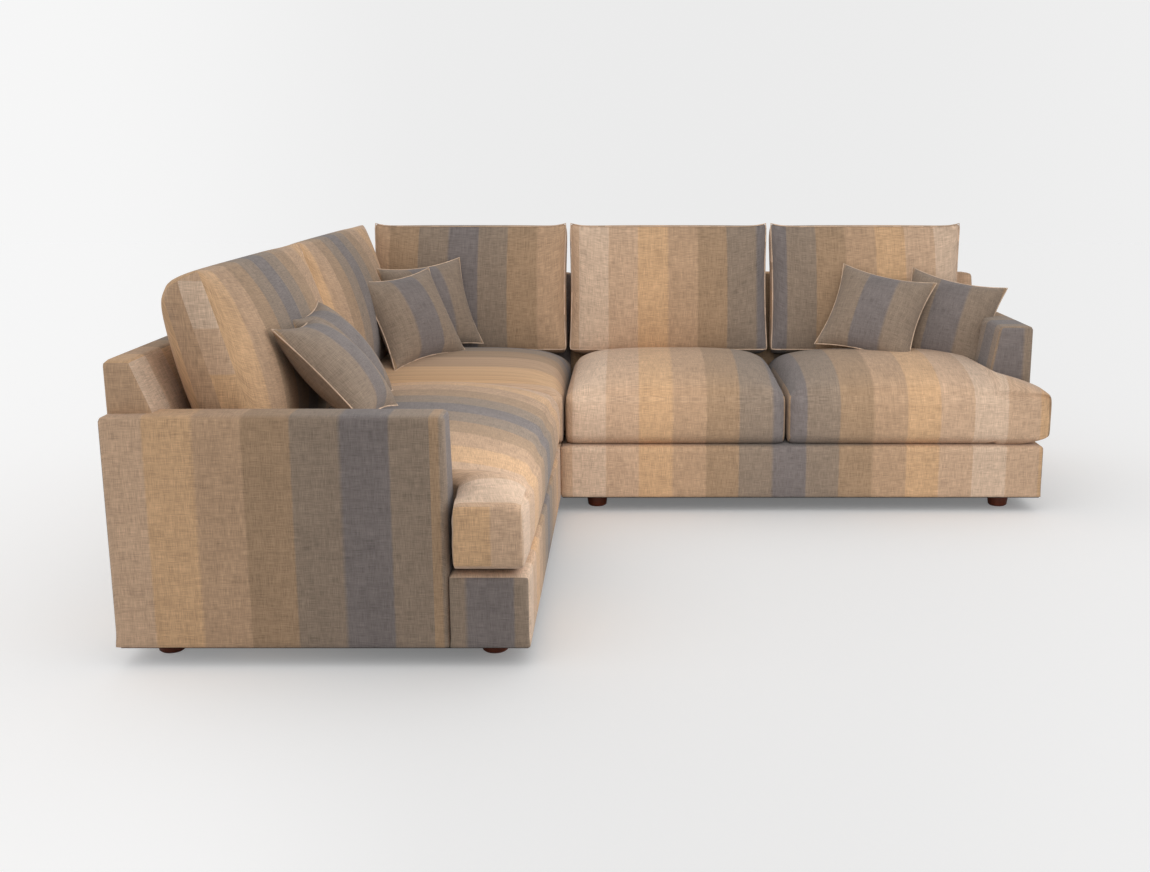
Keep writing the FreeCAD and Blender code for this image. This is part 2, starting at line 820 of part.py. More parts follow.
foot_near = foot_from_back
foot_far = wing_depth - foot_from_back
corner_feet = [(foot_near, foot_near), (foot_far, foot_near), (foot_near, foot_far), (foot_far, foot_far)]
inner_low = deck_y + cover_wall
inner_high = wing_depth - cover_wall
felt_low = deck_height - cloth_thickness - felt_thickness
keep("corner_base_cover", place_corner(make_corner_base_cover()))
keep("corner_base_frame", place_corner(make_corner_base_frame(corner_feet[3])))
felt = box(inner_low, inner_high, inner_low, inner_high, felt_low, felt_low + felt_thickness)
keep("corner_felt_pad", place_corner(felt))
corner_webs = make_seat_webbing(inner_low, inner_high, inner_low, inner_high, 5, 5)
keep("corner_seat_webbing", [place_corner(strap) for strap in corner_webs])
dust_low = back_inset + dust_inset
dust_high = wing_depth - dust_inset
corner_dust = box(dust_low, dust_high, dust_low, dust_high, under_side, foot_height)
keep("corner_dust_cover", place_corner(pierced(corner_dust, corner_feet)))
keep("corner_feet", [place_corner(make_foot(x, y)) for x, y in corner_feet])
keep("corner_foot_bolts", [place_corner(make_foot_bolt(x, y)) for x, y in corner_feet])
keep("corner_back_cover", place_corner(make_corner_back_cover()))
keep("corner_back_frame", place_corner(make_corner_back_frame(corner_feet[:3])))
leg_straps = make_back_webbing(deck_y, inner_high)
keep("corner_back_webbing", [place_corner(strap) for strap in leg_straps + [swapped(s) for s in leg_straps]])

# Seat cushions: two with an ear in front of the arm, one plain, and one in the corner

split = total_width - seat_split
past_joint = seat_overhang + 2 * soft_gap
keep("left_seat_cushion", place_left(tee_cushion(left_length - past_joint)))
keep("right_seat_cushion", place_right(tee_cushion(split - soft_gap)))
keep("middle_seat_cushion", place_right(seat_cushion(split + soft_gap, right_length - past_joint)))
corner_seat = seat_cushion(deck_y + soft_gap, wing_depth + seat_overhang, True)
keep("corner_seat_cushion", place_corner(corner_seat))

# Back cushions

back_x0 = arm_foot - arm_slope * (back_low_z - deck_height) + arm_clearance
lean_out = -side_lean
corner_face = back_front_y + end_crown + corner_nook
left_far_end = total_depth - corner_face
keep("left_back_cushion", place_left(back_cushion(back_x0, left_back_split - soft_gap, lean_out, 0)))
left_far_back = back_cushion(left_back_split + soft_gap, left_far_end, 0, math.tan(rake))
keep("left_far_back_cushion", place_left(left_far_back))
keep("right_back_cushion", place_right(back_cushion(back_x0, split - soft_gap, lean_out, 0)))
corner_back_joint = total_width - corner_back_end
middle_back = back_cushion(split + soft_gap, corner_back_joint - soft_gap)
keep("middle_back_cushion", place_right(middle_back))
corner_back = back_cushion(corner_back_joint + soft_gap, total_width - corner_back_start)
keep("corner_back_cushion", place_right(corner_back))

# Scatter cushions, two on each wing and two in the corner

for name, lie in scatter_lie.items():
    place = place_right if name.startswith("right") or name == "corner_scatter_rear" else place_left
    keep(name, place(lay_scatter(*lie)))
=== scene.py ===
# %% [markdown]
# # A striped corner sofa
#
# The sofa has three upholstered sections, joined in an L, with loose seat, back and scatter cushions.
# The packed frame already holds every piece at its real size. This lesson dresses it: softer covers over
# the sections, cushions that puff out like sewn and filled cloth, and a linen with broad woven stripes.
# The first cell loads the frame and keeps its box, because cloth may stand only a little proud of it.

# %% Load the frame
import bpy
import json
import math
import numpy as np
from mathutils import Matrix, Vector

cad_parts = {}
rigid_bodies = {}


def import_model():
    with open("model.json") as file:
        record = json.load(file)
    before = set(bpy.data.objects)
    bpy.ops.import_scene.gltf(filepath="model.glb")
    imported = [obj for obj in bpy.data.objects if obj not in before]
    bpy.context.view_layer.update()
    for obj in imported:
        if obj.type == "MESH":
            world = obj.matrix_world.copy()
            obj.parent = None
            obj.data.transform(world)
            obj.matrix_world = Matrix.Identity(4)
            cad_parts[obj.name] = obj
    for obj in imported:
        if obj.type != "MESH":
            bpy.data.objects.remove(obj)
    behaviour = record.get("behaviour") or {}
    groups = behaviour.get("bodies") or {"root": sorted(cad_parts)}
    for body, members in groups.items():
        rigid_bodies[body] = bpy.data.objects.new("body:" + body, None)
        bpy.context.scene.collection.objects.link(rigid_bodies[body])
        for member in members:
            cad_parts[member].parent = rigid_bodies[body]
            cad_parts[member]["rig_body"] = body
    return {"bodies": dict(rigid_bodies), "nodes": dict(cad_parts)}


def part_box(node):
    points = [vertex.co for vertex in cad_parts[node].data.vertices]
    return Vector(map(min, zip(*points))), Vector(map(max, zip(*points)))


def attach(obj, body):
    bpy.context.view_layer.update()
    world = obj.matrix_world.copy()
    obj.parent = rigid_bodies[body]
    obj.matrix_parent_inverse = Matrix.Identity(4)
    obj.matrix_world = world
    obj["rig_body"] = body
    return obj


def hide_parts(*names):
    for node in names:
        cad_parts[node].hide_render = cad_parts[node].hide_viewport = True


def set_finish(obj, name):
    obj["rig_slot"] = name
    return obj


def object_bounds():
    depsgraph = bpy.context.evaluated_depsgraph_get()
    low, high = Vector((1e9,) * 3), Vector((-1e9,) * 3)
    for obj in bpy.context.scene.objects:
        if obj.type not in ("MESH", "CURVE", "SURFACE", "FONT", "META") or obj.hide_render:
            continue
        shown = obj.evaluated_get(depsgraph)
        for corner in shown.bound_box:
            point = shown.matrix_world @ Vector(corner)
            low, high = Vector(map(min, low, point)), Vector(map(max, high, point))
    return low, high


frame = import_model()
cad_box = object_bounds()
nodes = frame["nodes"]
print("nodes", len(nodes), "box", [round(v, 3) for corner in cad_box for v in corner])

# %% [markdown]
# ## Driving sizes
#
# A sofa frame is set out from a few sizes: the depth of a wing, the heights of deck, arm and back rail, and
# the slopes between them. The covers could be measured from the frame's meshes, but a maker works from
# those few sizes, so they are written here once, in metres, and the two lengths come from the frame's
# box. Each wing is drawn in a wing frame: x runs along the wing from the outer face of its arm, y from its
# back to its front, and z is up. Three small functions turn that frame into the sofa's own.

# %% Sizes and places
ear = 0.025
wing_depth = 1.0
plan_x = cad_box[0].x
plan_y = cad_box[0].y + ear
total_width = cad_box[1].x - ear - plan_x
total_depth = cad_box[1].y - plan_y
left_length = total_depth - wing_depth
right_length = total_width - wing_depth
print("plan", round(total_width, 3), "by", round(total_depth, 3))
print("wings", round(left_length, 3), "and", round(right_length, 3))

# %% Heights, slopes and the wing frame
floor_gap = 0.05
deck_height = 0.23
arm_height = 0.616
rail_height = 0.74
arm_length = 0.805
arm_top = 0.115
arm_slope = 0.18
back_inset = 0.007
rail_end = 0.044
rail_top = 0.06
head_drop = 0.12
head_slope = 0.41
back_slope = 0.27
rake = math.radians(15)
arm_foot = arm_top + arm_slope * (arm_height - deck_height)
knee_height = rail_height - head_drop
knee_y = back_inset + rail_top + head_slope * head_drop
deck_y = knee_y + back_slope * (knee_height - deck_height)
print("inside face of the back meets the deck at", round(deck_y, 3))


def from_left(points):
    x, y, z = points.T
    return np.stack([plan_x + y, plan_y + x, z], 1)


def from_right(points):
    x, y, z = points.T
    return np.stack([plan_x + total_width - x, plan_y + total_depth - y, z], 1)


def from_corner(points):
    x, y, z = points.T
    return np.stack([plan_x + x, plan_y + total_depth - y, z], 1)


mirrored = (from_left, from_corner)
print("the left wing and the corner are mirror images of the wing frame, so their faces are turned over")

# %% [markdown]
# ## A box of cloth panels
#
# Upholstery is sewn from flat panels over foam and timber. A cube with a bevel and a subdivision would give
# a soft box too, but not its seams. So every cover and cushion here starts as a box of six gridded panels
# that share their edge points. The grid is finer near the edges, where the cloth turns, and each panel
# keeps its own number, so that the stripes can turn a corner as they do at a real seam.

# %% Panel grids
LOW_X, HIGH_X, LOW_Y, HIGH_Y, LOW_Z, HIGH_Z = range(6)


def spread(count, edge):
    """Rising places from -1 to 1, with points drawn towards the ends as edge goes from 0 to 1."""
    even = np.linspace(-1, 1, count)
    return (1 - edge) * even + edge * np.sin(even * math.pi / 2)


def panel_box(xs, ys, zs):
    """The points of a gridded box, from -1 to 1, its quads, and the panel that each quad belongs to."""
    sizes = (len(xs), len(ys), len(zs))
    found = {}
    points = []

    def corner(i, j, k):
        key = (i, j, k)
        if key not in found:
            found[key] = len(points)
            points.append((xs[i], ys[j], zs[k]))
        return found[key]

    quads, panels = [], []
    for axis in range(3):
        across, along = [a for a in range(3) if a != axis]
        for end in (0, 1):
            fixed = end * (sizes[axis] - 1)
            for a in range(sizes[across] - 1):
                for b in range(sizes[along] - 1):
                    loop = []
                    for da, db in ((0, 0), (1, 0), (1, 1), (0, 1)):
                        place = [0, 0, 0]
                        place[axis], place[across], place[along] = fixed, a + da, b + db
                        loop.append(corner(*place))
                    outward = (axis != 1) == (end == 1)
                    quads.append(loop if outward else loop[::-1])
                    panels.append(2 * axis + end)
    return np.array(points), quads, np.array(panels)


test_points, test_quads, test_panels = panel_box(spread(5, 0.5), spread(4, 0.5), spread(3, 0.5))
print("test grid", len(test_points), "points", len(test_quads), "quads on panels", np.unique(test_panels))

# %% [markdown]
# ## Round edges
#
# Foam and wadding under cloth leave no sharp edge. A bevel modifier could round one, with a single width all
# round. A cushion is tight at one seam and soft at the next, so the points are moved by a formula instead:
# each one is clipped to a smaller box and set a radius away from it.

# %% Rounding a box
def round_edges(unit, half, radius):
    """Sizes a unit box and rounds its edges to a radius, which may differ from point to point."""
    half = np.asarray(half, float)
    radius = np.broadcast_to(np.asarray(radius, float), unit.shape)
    sized = unit * half
    core = np.clip(sized, -(half - radius), half - radius)
    out = (sized - core) / radius
    out = out / np.linalg.norm(out, axis=1)[:, None]
    return core + radius * out


test_reach = np.abs(round_edges(test_points, (0.5, 0.4, 0.3), 0.05)).max(0)
print("a rounded test box keeps its half sizes", test_reach.round(3))

# %% [markdown]
# ## From panels to a piece
#
# On a real cover the stripes belong to the cloth and not to the room: a cushion that leans or turns takes
# them with it. An unwrapped image could carry them, and so could the object's own coordinates, but the
# first needs a picture and the second can't turn at a seam. So each corner of each quad gets a cloth
# coordinate: metres across the stripes, metres along them, and a number that differs from panel to panel.
# It is kept on the mesh as an attribute, and the material reads the stripes and the weave from it.

# %% Making a piece
def make_piece(name, points, quads, cloth, place, body, slot_name):
    """Makes a mesh object in the sofa's frame. cloth holds one row of three for each quad's corners."""
    flip = place in mirrored
    mesh = bpy.data.meshes.new(name)
    moved = points if place is None else place(points)
    order = [q[::-1] for q in quads] if flip else quads
    mesh.from_pydata([tuple(p) for p in moved], [], [tuple(q) for q in order])
    mesh.polygons.foreach_set("use_smooth", [True] * len(order))
    rows = cloth[:, ::-1] if flip else cloth
    attribute = mesh.attributes.new("cloth", "FLOAT_VECTOR", "CORNER")
    attribute.data.foreach_set("vector", np.ascontiguousarray(rows, dtype=np.float32).ravel())
    mesh.update()
    piece = bpy.data.objects.new(name, mesh)
    bpy.context.scene.collection.objects.link(piece)
    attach(piece, body)
    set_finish(piece, slot_name)
    return piece


def cloth_rows(points, quads, panels, across, along):
    """Cloth coordinates for every quad corner. across and along map points and a panel number to metres."""
    corners = np.array(quads)
    rows = np.zeros((len(corners), 4, 3))
    for panel in np.unique(panels):
        chosen = panels == panel
        these = points[corners[chosen].ravel()]
        rows[chosen, :, 0] = across(these, panel).reshape(-1, 4)
        rows[chosen, :, 1] = along(these, panel).reshape(-1, 4)
        rows[chosen, :, 2] = panel
    return rows


test_rows = cloth_rows(test_points, test_quads, test_panels, lambda p, panel: p[:, 0],
                       lambda p, panel: p[:, 2])
print("cloth coordinates for", len(test_rows), "quads")

# %% [markdown]
# ## The cloth's repeat
#
# The linen is woven in twelve broad stripes, from pale beige through tan and gold to brown and slate, and
# back again. Every panel was cut from that cloth at some place across it. The stripes could be painted on
# one panel after another, but one repeat for all is how the cloth is made, and a panel then needs a single
# number: where its first pale stripe starts. Those numbers were matched to the real cover.

# %% The stripes
stripe = 0.1144
stripe_count = 12
repeat = stripe_count * stripe
PALE, TAN, GOLD, LIGHT_BROWN, BROWN, GREY_BROWN, SLATE = range(7)
right_start = 1.0405
left_start = -0.003
corner_seat_start = 1.2464
corner_back_start = -0.1494
near_arm_start = -0.1248
near_nose_start = 0.1606
near_end_start = -0.3464


def stripe_start(number):
    """Metres across the cloth at which a stripe of the repeat starts."""
    return number * stripe


slate_middle = stripe_start(SLATE + 0.5)
print("repeat", round(repeat, 3), "m, its slate stripe is centred at", round(slate_middle, 3))

# %% [markdown]
# ## Colours of the yarn
#
# Seven colours of yarn make the twelve stripes. They are written as a paint chart gives them, so that they
# can be compared with a sample by eye, and a small function turns them into light for the shader.

# %% Yarn colours
def linear(colour):
    """A colour as a paint chart gives it, turned into the light values that a shader takes."""
    return [((c + 0.055) / 1.055) ** 2.4 if c > 0.04045 else c / 12.92 for c in colour] + [1.0]


thread_colours = {
    PALE: (0.800, 0.695, 0.600), TAN: (0.752, 0.630, 0.522), GOLD: (0.770, 0.626, 0.480),
    LIGHT_BROWN: (0.697, 0.575, 0.462), BROWN: (0.618, 0.512, 0.406), GREY_BROWN: (0.540, 0.473, 0.410),
    SLATE: (0.462, 0.428, 0.416)}
order = [PALE, TAN, GOLD, LIGHT_BROWN, BROWN, GREY_BROWN, SLATE, GREY_BROWN, BROWN, LIGHT_BROWN, GOLD, TAN]
print("slate yarn as light", [round(v, 3) for v in linear(thread_colours[SLATE])])

# %% [markdown]
# ## Building a finish from nodes
#
# Every finish here is a small tree of shader nodes. Each node could be made and joined by hand in three or
# four lines. A class with a method for each of those steps keeps the recipe readable as a sentence.

# %% A short way to join nodes
class Shader:
    """A material, and a short way to add and join its nodes. n0 and n1 stand for an input's number."""

    def __init__(self, name):
        self.material = bpy.data.materials.new(name)
        self.material.use_nodes = True
        self.tree = self.material.node_tree
        self.surface = self.tree.nodes["Principled BSDF"]

    def add(self, kind, settings=None, **inputs):
        made = self.tree.nodes.new(kind)
        for key, value in (settings or {}).items():
            setattr(made, key, value)
        for key, value in inputs.items():
            self.put(made, key, value)
        return made

    def put(self, made, key, value):
        socket = made.inputs[int(key[1:])] if key[0] == "n" and key[1:].isdigit() else made.inputs[key]
        if isinstance(value, bpy.types.NodeSocket):
            self.tree.links.new(value, socket)
        else:
            socket.default_value = value

    def maths(self, operation, first, second=0.0):
        return self.add("ShaderNodeMath", {"operation": operation}, n0=first, n1=second).outputs[0]

    def noise(self, vector, scale, detail=2.0):
        made = self.add("ShaderNodeTexNoise", None, Vector=vector, Scale=scale, Detail=detail)
        return made.outputs["Fac"]

    def centred(self, value, amount):
        """A value from 0 to 1, made to swing evenly about nought by an amount."""
        return self.maths("MULTIPLY", self.maths("SUBTRACT", value, 0.5), amount)


print("shader methods", [name for name in vars(Shader) if not name.startswith("_")])

# %% [markdown]
# ## The stripes as a colour
#
# In the loom the dyed threads of two stripes mix over a thread or two, and the border between them wavers a
# little along the cloth. Twelve flat materials would give hard, straight borders. A colour ramp over one
# repeat gives soft ones, and a slow noise added to the place across the cloth makes them waver.

# %% Stripe colour
border_softness = 0.0016
border_waver = 0.004
repeats_before = 10


def on_the_cloth(shader, scales=(1.0, 1.0, 1.0)):
    """The cloth coordinate, stretched by three scales: across, along and from panel to panel."""
    where = shader.add("ShaderNodeAttribute", {"attribute_name": "cloth"}).outputs["Vector"]
    return shader.add("ShaderNodeVectorMath", {"operation": "MULTIPLY"}, n0=where, n1=scales).outputs[0]


def stripe_colour(shader):
    """The colour of the yarn at each place across the cloth, from a ramp over one repeat."""
    across = shader.add("ShaderNodeSeparateXYZ", None, Vector=on_the_cloth(shader)).outputs["X"]
    waver = shader.noise(on_the_cloth(shader, (9.0, 40.0, 3.0)), 1.0)
    moved = shader.maths("ADD", across, shader.centred(waver, border_waver))
    positive = shader.maths("ADD", moved, repeats_before * repeat)
    part = shader.maths("FRACT", shader.maths("DIVIDE", positive, repeat))
    ramp = shader.add("ShaderNodeValToRGB", None, Fac=part)
    stops = ramp.color_ramp.elements
    soft = border_softness / repeat
    for number, colour in enumerate(order):
        for place in (number / stripe_count + soft, (number + 1) / stripe_count - soft):
            stops.new(place).color = linear(thread_colours[colour])
    stops.remove(stops[0])
    stops.remove(stops[-1])
    return ramp.outputs["Color"]


def plain_colour(shader, yarn):
    colour = shader.add("ShaderNodeRGB").outputs[0]
    colour.default_value = linear(thread_colours[yarn])
    return colour


print("ramp stops", 2 * len(order))

# %% [markdown]
# ## Linen
#
# Linen yarn is uneven: it has thick slubs, and it takes the dye in clouds. Real threads could be modelled,
# but a sofa has tens of thousands of them. Noise that is stretched along the cloth gives the slubs of the
# warp, and across it those of the weft. Wider streaks and slow clouds lie over them, and the fine threads
# also raise the surface a little. The cloth is matt, with a faint sheen from its loose fibres.

# %% Linen material
thread_contrast = 0.90
streak_contrast = 0.36
cloud_contrast = 0.22
thread_depth = 0.0015


def linen(name, yarn=None, bump=0.35):
    """The striped cloth, or a plain one of a single yarn."""
    shader = Shader(name)
    colour = stripe_colour(shader) if yarn is None else plain_colour(shader, yarn)
    warp = shader.noise(on_the_cloth(shader, (650.0, 34.0, 5.0)), 1.0, 2.0)
    weft = shader.noise(on_the_cloth(shader, (34.0, 650.0, 7.0)), 1.0, 2.0)
    warp_streak = shader.noise(on_the_cloth(shader, (90.0, 14.0, 3.0)), 1.0, 3.0)
    weft_streak = shader.noise(on_the_cloth(shader, (14.0, 90.0, 13.0)), 1.0, 3.0)
    cloud = shader.noise(on_the_cloth(shader, (6.0, 8.0, 11.0)), 1.0, 2.0)
    weave = shader.maths("SUBTRACT", shader.maths("ADD", warp, weft), 1.0)
    streak = shader.maths("SUBTRACT", shader.maths("ADD", warp_streak, weft_streak), 1.0)
    tone = shader.maths("MULTIPLY", weave, thread_contrast)
    tone = shader.maths("ADD", tone, shader.maths("MULTIPLY", streak, streak_contrast))
    tone = shader.maths("ADD", tone, shader.centred(cloud, cloud_contrast))
    value = shader.maths("ADD", tone, 1.0)
    shaded = shader.add("ShaderNodeHueSaturation", None, Value=value, Color=colour).outputs["Color"]
    shader.put(shader.surface, "Base Color", shaded)
    shader.surface.inputs["Roughness"].default_value = 0.92
    shader.surface.inputs["Specular IOR Level"].default_value = 0.2
    shader.surface.inputs["Sheen Weight"].default_value = 0.12
    shader.surface.inputs["Sheen Roughness"].default_value = 0.6
    raised = shader.add("ShaderNodeBump", None, Height=weave, Strength=bump, Distance=thread_depth)
    shader.put(shader.surface, "Normal", raised.outputs["Normal"])
    return shader.material


striped_cloth = linen("striped_linen")
piping_cloth = linen("piping_linen", PALE, 0.2)
print("materials", striped_cloth.name, piping_cloth.name)

# %% [markdown]
# ## Padded covers
#
# A cover is stretched over wadding, so its edges are round, its wide faces stand a little proud in their
# middles, and only the hem at the bottom is pulled tight. Modifiers could do this one after another. One
# function does it here for arms, backs and bases alike, because all of them are boxes with one face pushed.

# %% A padded box
edge_radius = 0.014
hem_radius = 0.004
hem_height = 0.03
face_swell = 0.0025
at_the_face = 0.999


def swell(unit, axis):
    """How much a face stands proud at each point: none at its edges and all in its middle."""
    others = [a for a in range(3) if a != axis]
    amount = np.ones(len(unit))
    for other in others:
        amount *= 1 - unit[:, other] ** 2
    return amount * (np.abs(unit[:, axis]) > at_the_face) * np.sign(unit[:, axis])


def padded_box(unit, size, low, radius=edge_radius, proud=face_swell):
    """A box of a size, with its low corner at a place, round edges and slightly swollen faces."""
    half = np.array(size) / 2
    above_floor_edge = (unit[:, 2] + 1) * half[2]
    rounding = hem_radius + (radius - hem_radius) * np.clip(above_floor_edge / hem_height, 0, 1)
    shaped = round_edges(unit, half, np.repeat(rounding[:, None], 3, 1))
    for axis in range(3):
        shaped[:, axis] += proud * swell(unit, axis)
    return shaped + half + np.array(low)


test_padded = padded_box(test_points, (0.4, 0.3, 0.2), (0, 0, 0))
print("a padded test box spans", test_padded.min(0).round(4), test_padded.max(0).round(4))

# %% [markdown]
# ## Arm covers
#
# An arm is upright outside, slopes on its inside and has a flat top. The padded box takes its shape when
# the inside face is pushed out along the slope. A narrow band of the front panel turns round onto the
# sides, as the front facing of a real arm does. Its lighter brown on the rounded front edge is partly a
# painted highlight. A seam has to fall on a line of the grid there: one more place is put into the grid
# for it, which is simpler than cutting the mesh afterwards.

# %% Arm shape
front_edge = 0.011
front_seam = 0.034
inside_start = 0.73
left_band = 0.034
right_band = 0.016
line_spacing = 0.012
BAND_AND_HIGHLIGHT = 6


def with_place(places, extra):
    """Grid places with one more among them, so that a seam falls on a grid line."""
    kept = [p for p in places if abs(p - extra) > line_spacing or abs(p) > at_the_face]
    return np.array(sorted(kept + [extra]))


def quad_centres(points, quads):
    return points[np.array(quads)].mean(1)


def arm_shape(unit):
    points = padded_box(unit, (arm_top, arm_length, arm_height - floor_gap), (0, 0, floor_gap))
    slope = arm_slope * (arm_height - np.maximum(points[:, 2], deck_height))
    points[:, 0] += slope * np.clip(points[:, 0] / arm_top, 0, 1)
    return points


arm_test = arm_shape(test_points)
print("an arm spans", arm_test.min(0).round(3), arm_test.max(0).round(3))

# %% [markdown]
# ## Cutting the arm's panels from the cloth
#
# The stripes stand upright on every side of an arm. On the outside and the inside they are counted from
# back to front, and on the front facing from side to side. On the left arm the top is cut in one with the
# outside, and on the right arm with the inside, so each arm is given its own way of counting.

# %% Arms
def left_arm_across(points, panel):
    # The band on the rounded front edge takes a lighter brown than the slate front: partly the front
    # facing's cloth, partly a painted highlight.
    if panel == BAND_AND_HIGHLIGHT:
        return points[:, 1] - arm_length + front_edge + stripe_start(GREY_BROWN)
    if panel in (HIGH_Y, LOW_Y):
        return points[:, 0] - front_seam + stripe_start(SLATE)
    if panel == HIGH_X:
        return inside_start - points[:, 1] + stripe_start(SLATE)
    return points[:, 1] - near_arm_start


def right_arm_across(points, panel):
    return left_arm_across(points, HIGH_X if panel == HIGH_Z else panel)


def arm_along(points, panel):
    if panel in (HIGH_Y, LOW_Y):
        return points[:, 2]
    return points[:, 0] + points[:, 2]


def add_arm(side, place, across, band):
    """One arm's cover. band is how far the front facing turns round onto the sides; its lighter brown there
    is partly a painted highlight on the rounded front edge.
    """
    seam = 1 - 2 * band / arm_length
    unit, quads, panels = panel_box(spread(12, 0.6), with_place(spread(44, 0.35), seam), spread(34, 0.35))
    points = arm_shape(unit)
    centres = quad_centres(points, quads)
    # The band round the front edge, whose lighter brown is partly a painted highlight on the rounded edge.
    sides = np.isin(panels, (LOW_X, HIGH_X, HIGH_Z)) & (centres[:, 1] > arm_length - band)
    panels = np.where(sides, BAND_AND_HIGHLIGHT, panels)
    cloth = cloth_rows(points, quads, panels, across, arm_along)
    arm = make_piece(side + "_arm_upholstery", points, quads, cloth, place, "root", "striped_linen")
    arm.data.materials.append(striped_cloth)
    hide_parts(side + "_arm_cover")
    return arm


left_arm = add_arm("left", from_left, left_arm_across, left_band)
right_arm = add_arm("right", from_right, right_arm_across, right_band)
print("arm points", [len(arm.data.vertices) for arm in (left_arm, right_arm)])

# %% [markdown]
# ## Back covers
#
# Behind the loose cushions the back is a low upholstered wall with a sloped head. It could be an extruded
# outline, but that would lose the wadding's round edges. So it is the same padded box again: its front
# face moves back with height, at one slope below the head and another above it.

# %% Back shape
back_depth = deck_y - back_inset
section_gap = 0.0005


def wall_front(height):
    """Where the inside face of a back is, measured from the sofa's outer back."""
    below = deck_y - back_slope * (np.clip(height, deck_height, knee_height) - deck_height)
    return below - head_slope * np.maximum(height - knee_height, 0)


def back_shape(unit, low_x, high_x):
    size = (high_x - low_x, back_depth, rail_height - floor_gap)
    points = padded_box(unit, size, (low_x, back_inset, floor_gap))
    share = np.clip((points[:, 1] - back_inset) / back_depth, 0, 1)
    points[:, 1] += share * (wall_front(points[:, 2]) - deck_y)
    return points


print("the wall is", round(back_depth, 3), "deep at the deck")
print("and", round(float(wall_front(rail_height)) - back_inset, 3), "at the top")

# %% [markdown]
# ## Wing backs and the corner back
#
# Each wing has one wall. The corner has two, at a right angle, upholstered as one piece. The second wall is
# the first with its x and y exchanged, which also turns its faces over, so their order is reversed.

# %% Backs
wall_step = 0.04
top_cut = 10
corner_rail_start = 0.2


def back_mesh(low_x, high_x):
    steps = max(12, round((high_x - low_x) / wall_step))
    return panel_box(spread(steps, 0.3), spread(9, 0.6), spread(34, 0.4))


def rail_across(start, end_stripe):
    """Stripes along a wall, another stripe for its end, and the top cut ten stripes further on."""
    def across(points, panel):
        if panel == LOW_X:
            return points[:, 1] - back_inset + stripe_start(end_stripe)
        if panel == HIGH_Z:
            return points[:, 0] - start - stripe_start(top_cut)
        return points[:, 0] - start
    return across


def height_along(points, panel):
    if panel in (LOW_X, HIGH_X):
        return points[:, 2]
    return points[:, 1] + points[:, 2]


def add_wing_back(side, place, length, start, end_stripe):
    unit, quads, panels = back_mesh(rail_end, length)
    points = back_shape(unit, rail_end, length - section_gap)
    cloth = cloth_rows(points, quads, panels, rail_across(start, end_stripe), height_along)
    back = make_piece(side + "_back_upholstery", points, quads, cloth, place, "root", "striped_linen")
    back.data.materials.append(striped_cloth)
    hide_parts(side + "_back_cover")
    return back


def swapped(points):
    return points[:, [1, 0, 2]]


def add_corner_back():
    unit, quads, panels = back_mesh(back_inset, wing_depth)
    leg = back_shape(unit, back_inset, wing_depth - section_gap)
    cloth = cloth_rows(leg, quads, panels, rail_across(corner_rail_start, TAN), height_along)
    shift = len(leg)
    points = np.concatenate([leg, swapped(leg)])
    every = quads + [[index + shift for index in q[::-1]] for q in quads]
    rows = np.concatenate([cloth, cloth[:, ::-1]])
    back = make_piece("corner_back_upholstery", points, every, rows, from_corner, "root", "striped_linen")
    back.data.materials.append(striped_cloth)
    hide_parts("corner_back_cover")
    return back


left_wall = add_wing_back("left", from_left, left_length, rail_end, LIGHT_BROWN)
right_wall = add_wing_back("right", from_right, right_length, rail_end - stripe, LIGHT_BROWN)
corner_wall = add_corner_back()
print("back points", [len(wall.data.vertices) for wall in (left_wall, right_wall, corner_wall)])

# %% [markdown]
# ## Base covers
#
# Under the seats a wing has a front beam, which also runs past the arm as a short nose, and a deck of
# platform cloth behind it, which only shows when a seat is drawn out. One L-shaped mesh could hold both,
# but its grid would be awkward at the arm. Two padded boxes in one mesh are simpler, and the seam between
# them lies where the real one does.

# %% Bases
lip_radius = 0.012
lip_swell = 0.0015
deck_radius = 0.006
deck_swell = 0.001
beam_step = 0.035


def add_base(side, place, length, across):
    size = (length - section_gap, wing_depth - arm_length, deck_height - floor_gap)
    steps = round(length / beam_step)
    unit, quads, panels = panel_box(spread(steps, 0.3), spread(12, 0.6), spread(12, 0.6))
    beam = padded_box(unit, size, (0, arm_length, floor_gap), lip_radius, lip_swell)
    rows = cloth_rows(beam, quads, panels, across, height_along)
    deck_unit, deck_quads, deck_panels = panel_box(spread(40, 0.2), spread(16, 0.3), spread(4, 0.5))
    deck_size = (length - arm_foot - section_gap, arm_length - deck_y, deck_height - floor_gap)
    deck = padded_box(deck_unit, deck_size, (arm_foot, deck_y, floor_gap), deck_radius, deck_swell)
    deck_rows = cloth_rows(deck, deck_quads, deck_panels, across, height_along)
    points = np.concatenate([beam, deck])
    every = quads + [[index + len(beam) for index in q] for q in deck_quads]
    cloth = np.concatenate([rows, deck_rows])
    base = make_piece(side + "_base_upholstery", points, every, cloth, place, "root", "striped_linen")
    base.data.materials.append(striped_cloth)
    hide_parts(side + "_base_cover")
    return base


def left_base_across(points, panel):
    if panel == LOW_X:
        return points[:, 1] - near_nose_start
    return points[:, 0] - left_start


def right_base_across(points, panel):
    if panel == LOW_X:
        return points[:, 1] - near_nose_start
    return total_width - points[:, 0] - right_start


def corner_across(points, panel):
    return total_depth - points[:, 1] - corner_seat_start


